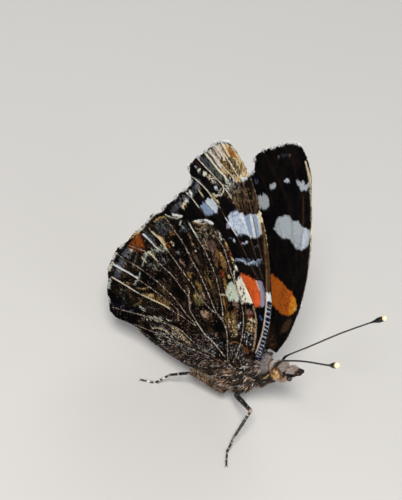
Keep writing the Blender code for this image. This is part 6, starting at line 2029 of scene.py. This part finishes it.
def add_floor():
    """A pale studio floor with a faint unevenness."""
    mesh = bpy.data.meshes.new("studio_floor")
    corners = [(x * FLOOR_HALF, y * FLOOR_HALF, 0.0) for x, y in ((-1, -1), (1, -1), (1, 1), (-1, 1))]
    mesh.from_pydata(corners, [], [(0, 1, 2, 3)])
    material, tree, shader = new_material("studio_floor", {"Roughness": 0.85, "Specular IOR Level": 0.2})
    place, drift, colours = [tree.nodes.new("ShaderNode" + kind)
                             for kind in ("TexCoord", "TexNoise", "ValToRGB")]
    set_sockets(drift, {"Scale": 6.0})
    for element, colour in zip(colours.color_ramp.elements, FLOOR_COLOURS):
        element.color = colour
    tree.links.new(place.outputs["Object"], drift.inputs["Vector"])
    tree.links.new(drift.outputs["Fac"], colours.inputs["Fac"])
    tree.links.new(colours.outputs["Color"], shader.inputs["Base Color"])
    mesh.materials.append(material)
    floor = bpy.data.objects.new("studio_floor", mesh)
    bpy.context.scene.collection.objects.link(floor)


def add_lights():
    """Three square soft lights turned to the insect, and an even pale surround."""
    for name, (place, size, power, colour) in LIGHTS.items():
        data = bpy.data.lights.new(name, "AREA")
        data.size = size
        data.energy = power
        data.color = colour
        light = bpy.data.objects.new(name, data)
        light.location = place
        light.rotation_euler = (Vector(LIGHT_AIM) - Vector(place)).to_track_quat("-Z", "Y").to_euler()
        bpy.context.scene.collection.objects.link(light)
    world = bpy.data.worlds.new("surround")
    bpy.context.scene.world = world
    world.use_nodes = True
    set_sockets(world.node_tree.nodes["Background"], {"Color": SURROUND_COLOUR, "Strength": SURROUND_STRENGTH})
    bpy.context.scene.view_settings.view_transform = "Standard"


def add_camera():
    """The camera, from its bearing, height and roll about the trunk."""
    towards = np.array((math.cos(CAMERA_RISE) * math.sin(CAMERA_TURN),
                        -math.cos(CAMERA_RISE) * math.cos(CAMERA_TURN), math.sin(CAMERA_RISE)))
    level = np.array((math.cos(CAMERA_TURN), math.sin(CAMERA_TURN), 0.0))
    upward = np.cross(towards, level)
    right = level * math.cos(CAMERA_ROLL) + upward * math.sin(CAMERA_ROLL)
    up = -level * math.sin(CAMERA_ROLL) + upward * math.cos(CAMERA_ROLL)
    shift = (PICTURE[0] / 2 - TRUNK_PIXEL[0], TRUNK_PIXEL[1] - PICTURE[1] / 2)
    per_pixel = CAMERA_DISTANCE / FOCAL_PIXELS
    place = CAMERA_DISTANCE * towards + per_pixel * (shift[0] * right + shift[1] * up)
    axes = TURN @ np.array((right, up, towards)).T
    data = bpy.data.cameras.new("camera")
    data.sensor_width = SENSOR
    data.lens = FOCAL_PIXELS * SENSOR / max(PICTURE)
    data.clip_start = 0.001
    camera = bpy.data.objects.new("camera", data)
    bpy.context.scene.collection.objects.link(camera)
    camera.matrix_world = Matrix.Translation(Vector(from_trunk(place) * MM)) @ Matrix(axes.tolist()).to_4x4()
    bpy.context.scene.camera = camera


add_camera()
add_lights()
add_floor()
wings = [add_wing(kind, side) for kind in ("forewing", "hindwing") for side in (RIGHT, LEFT)]
add_trunk()
for wing in wings:
    add_wing_base_hair(wing)
add_eyes()
add_palps()
add_proboscis()
add_antennae()
leg_draws = np.random.default_rng(LEG_SEED)
add_legs(leg_draws)
add_forelegs(leg_draws)
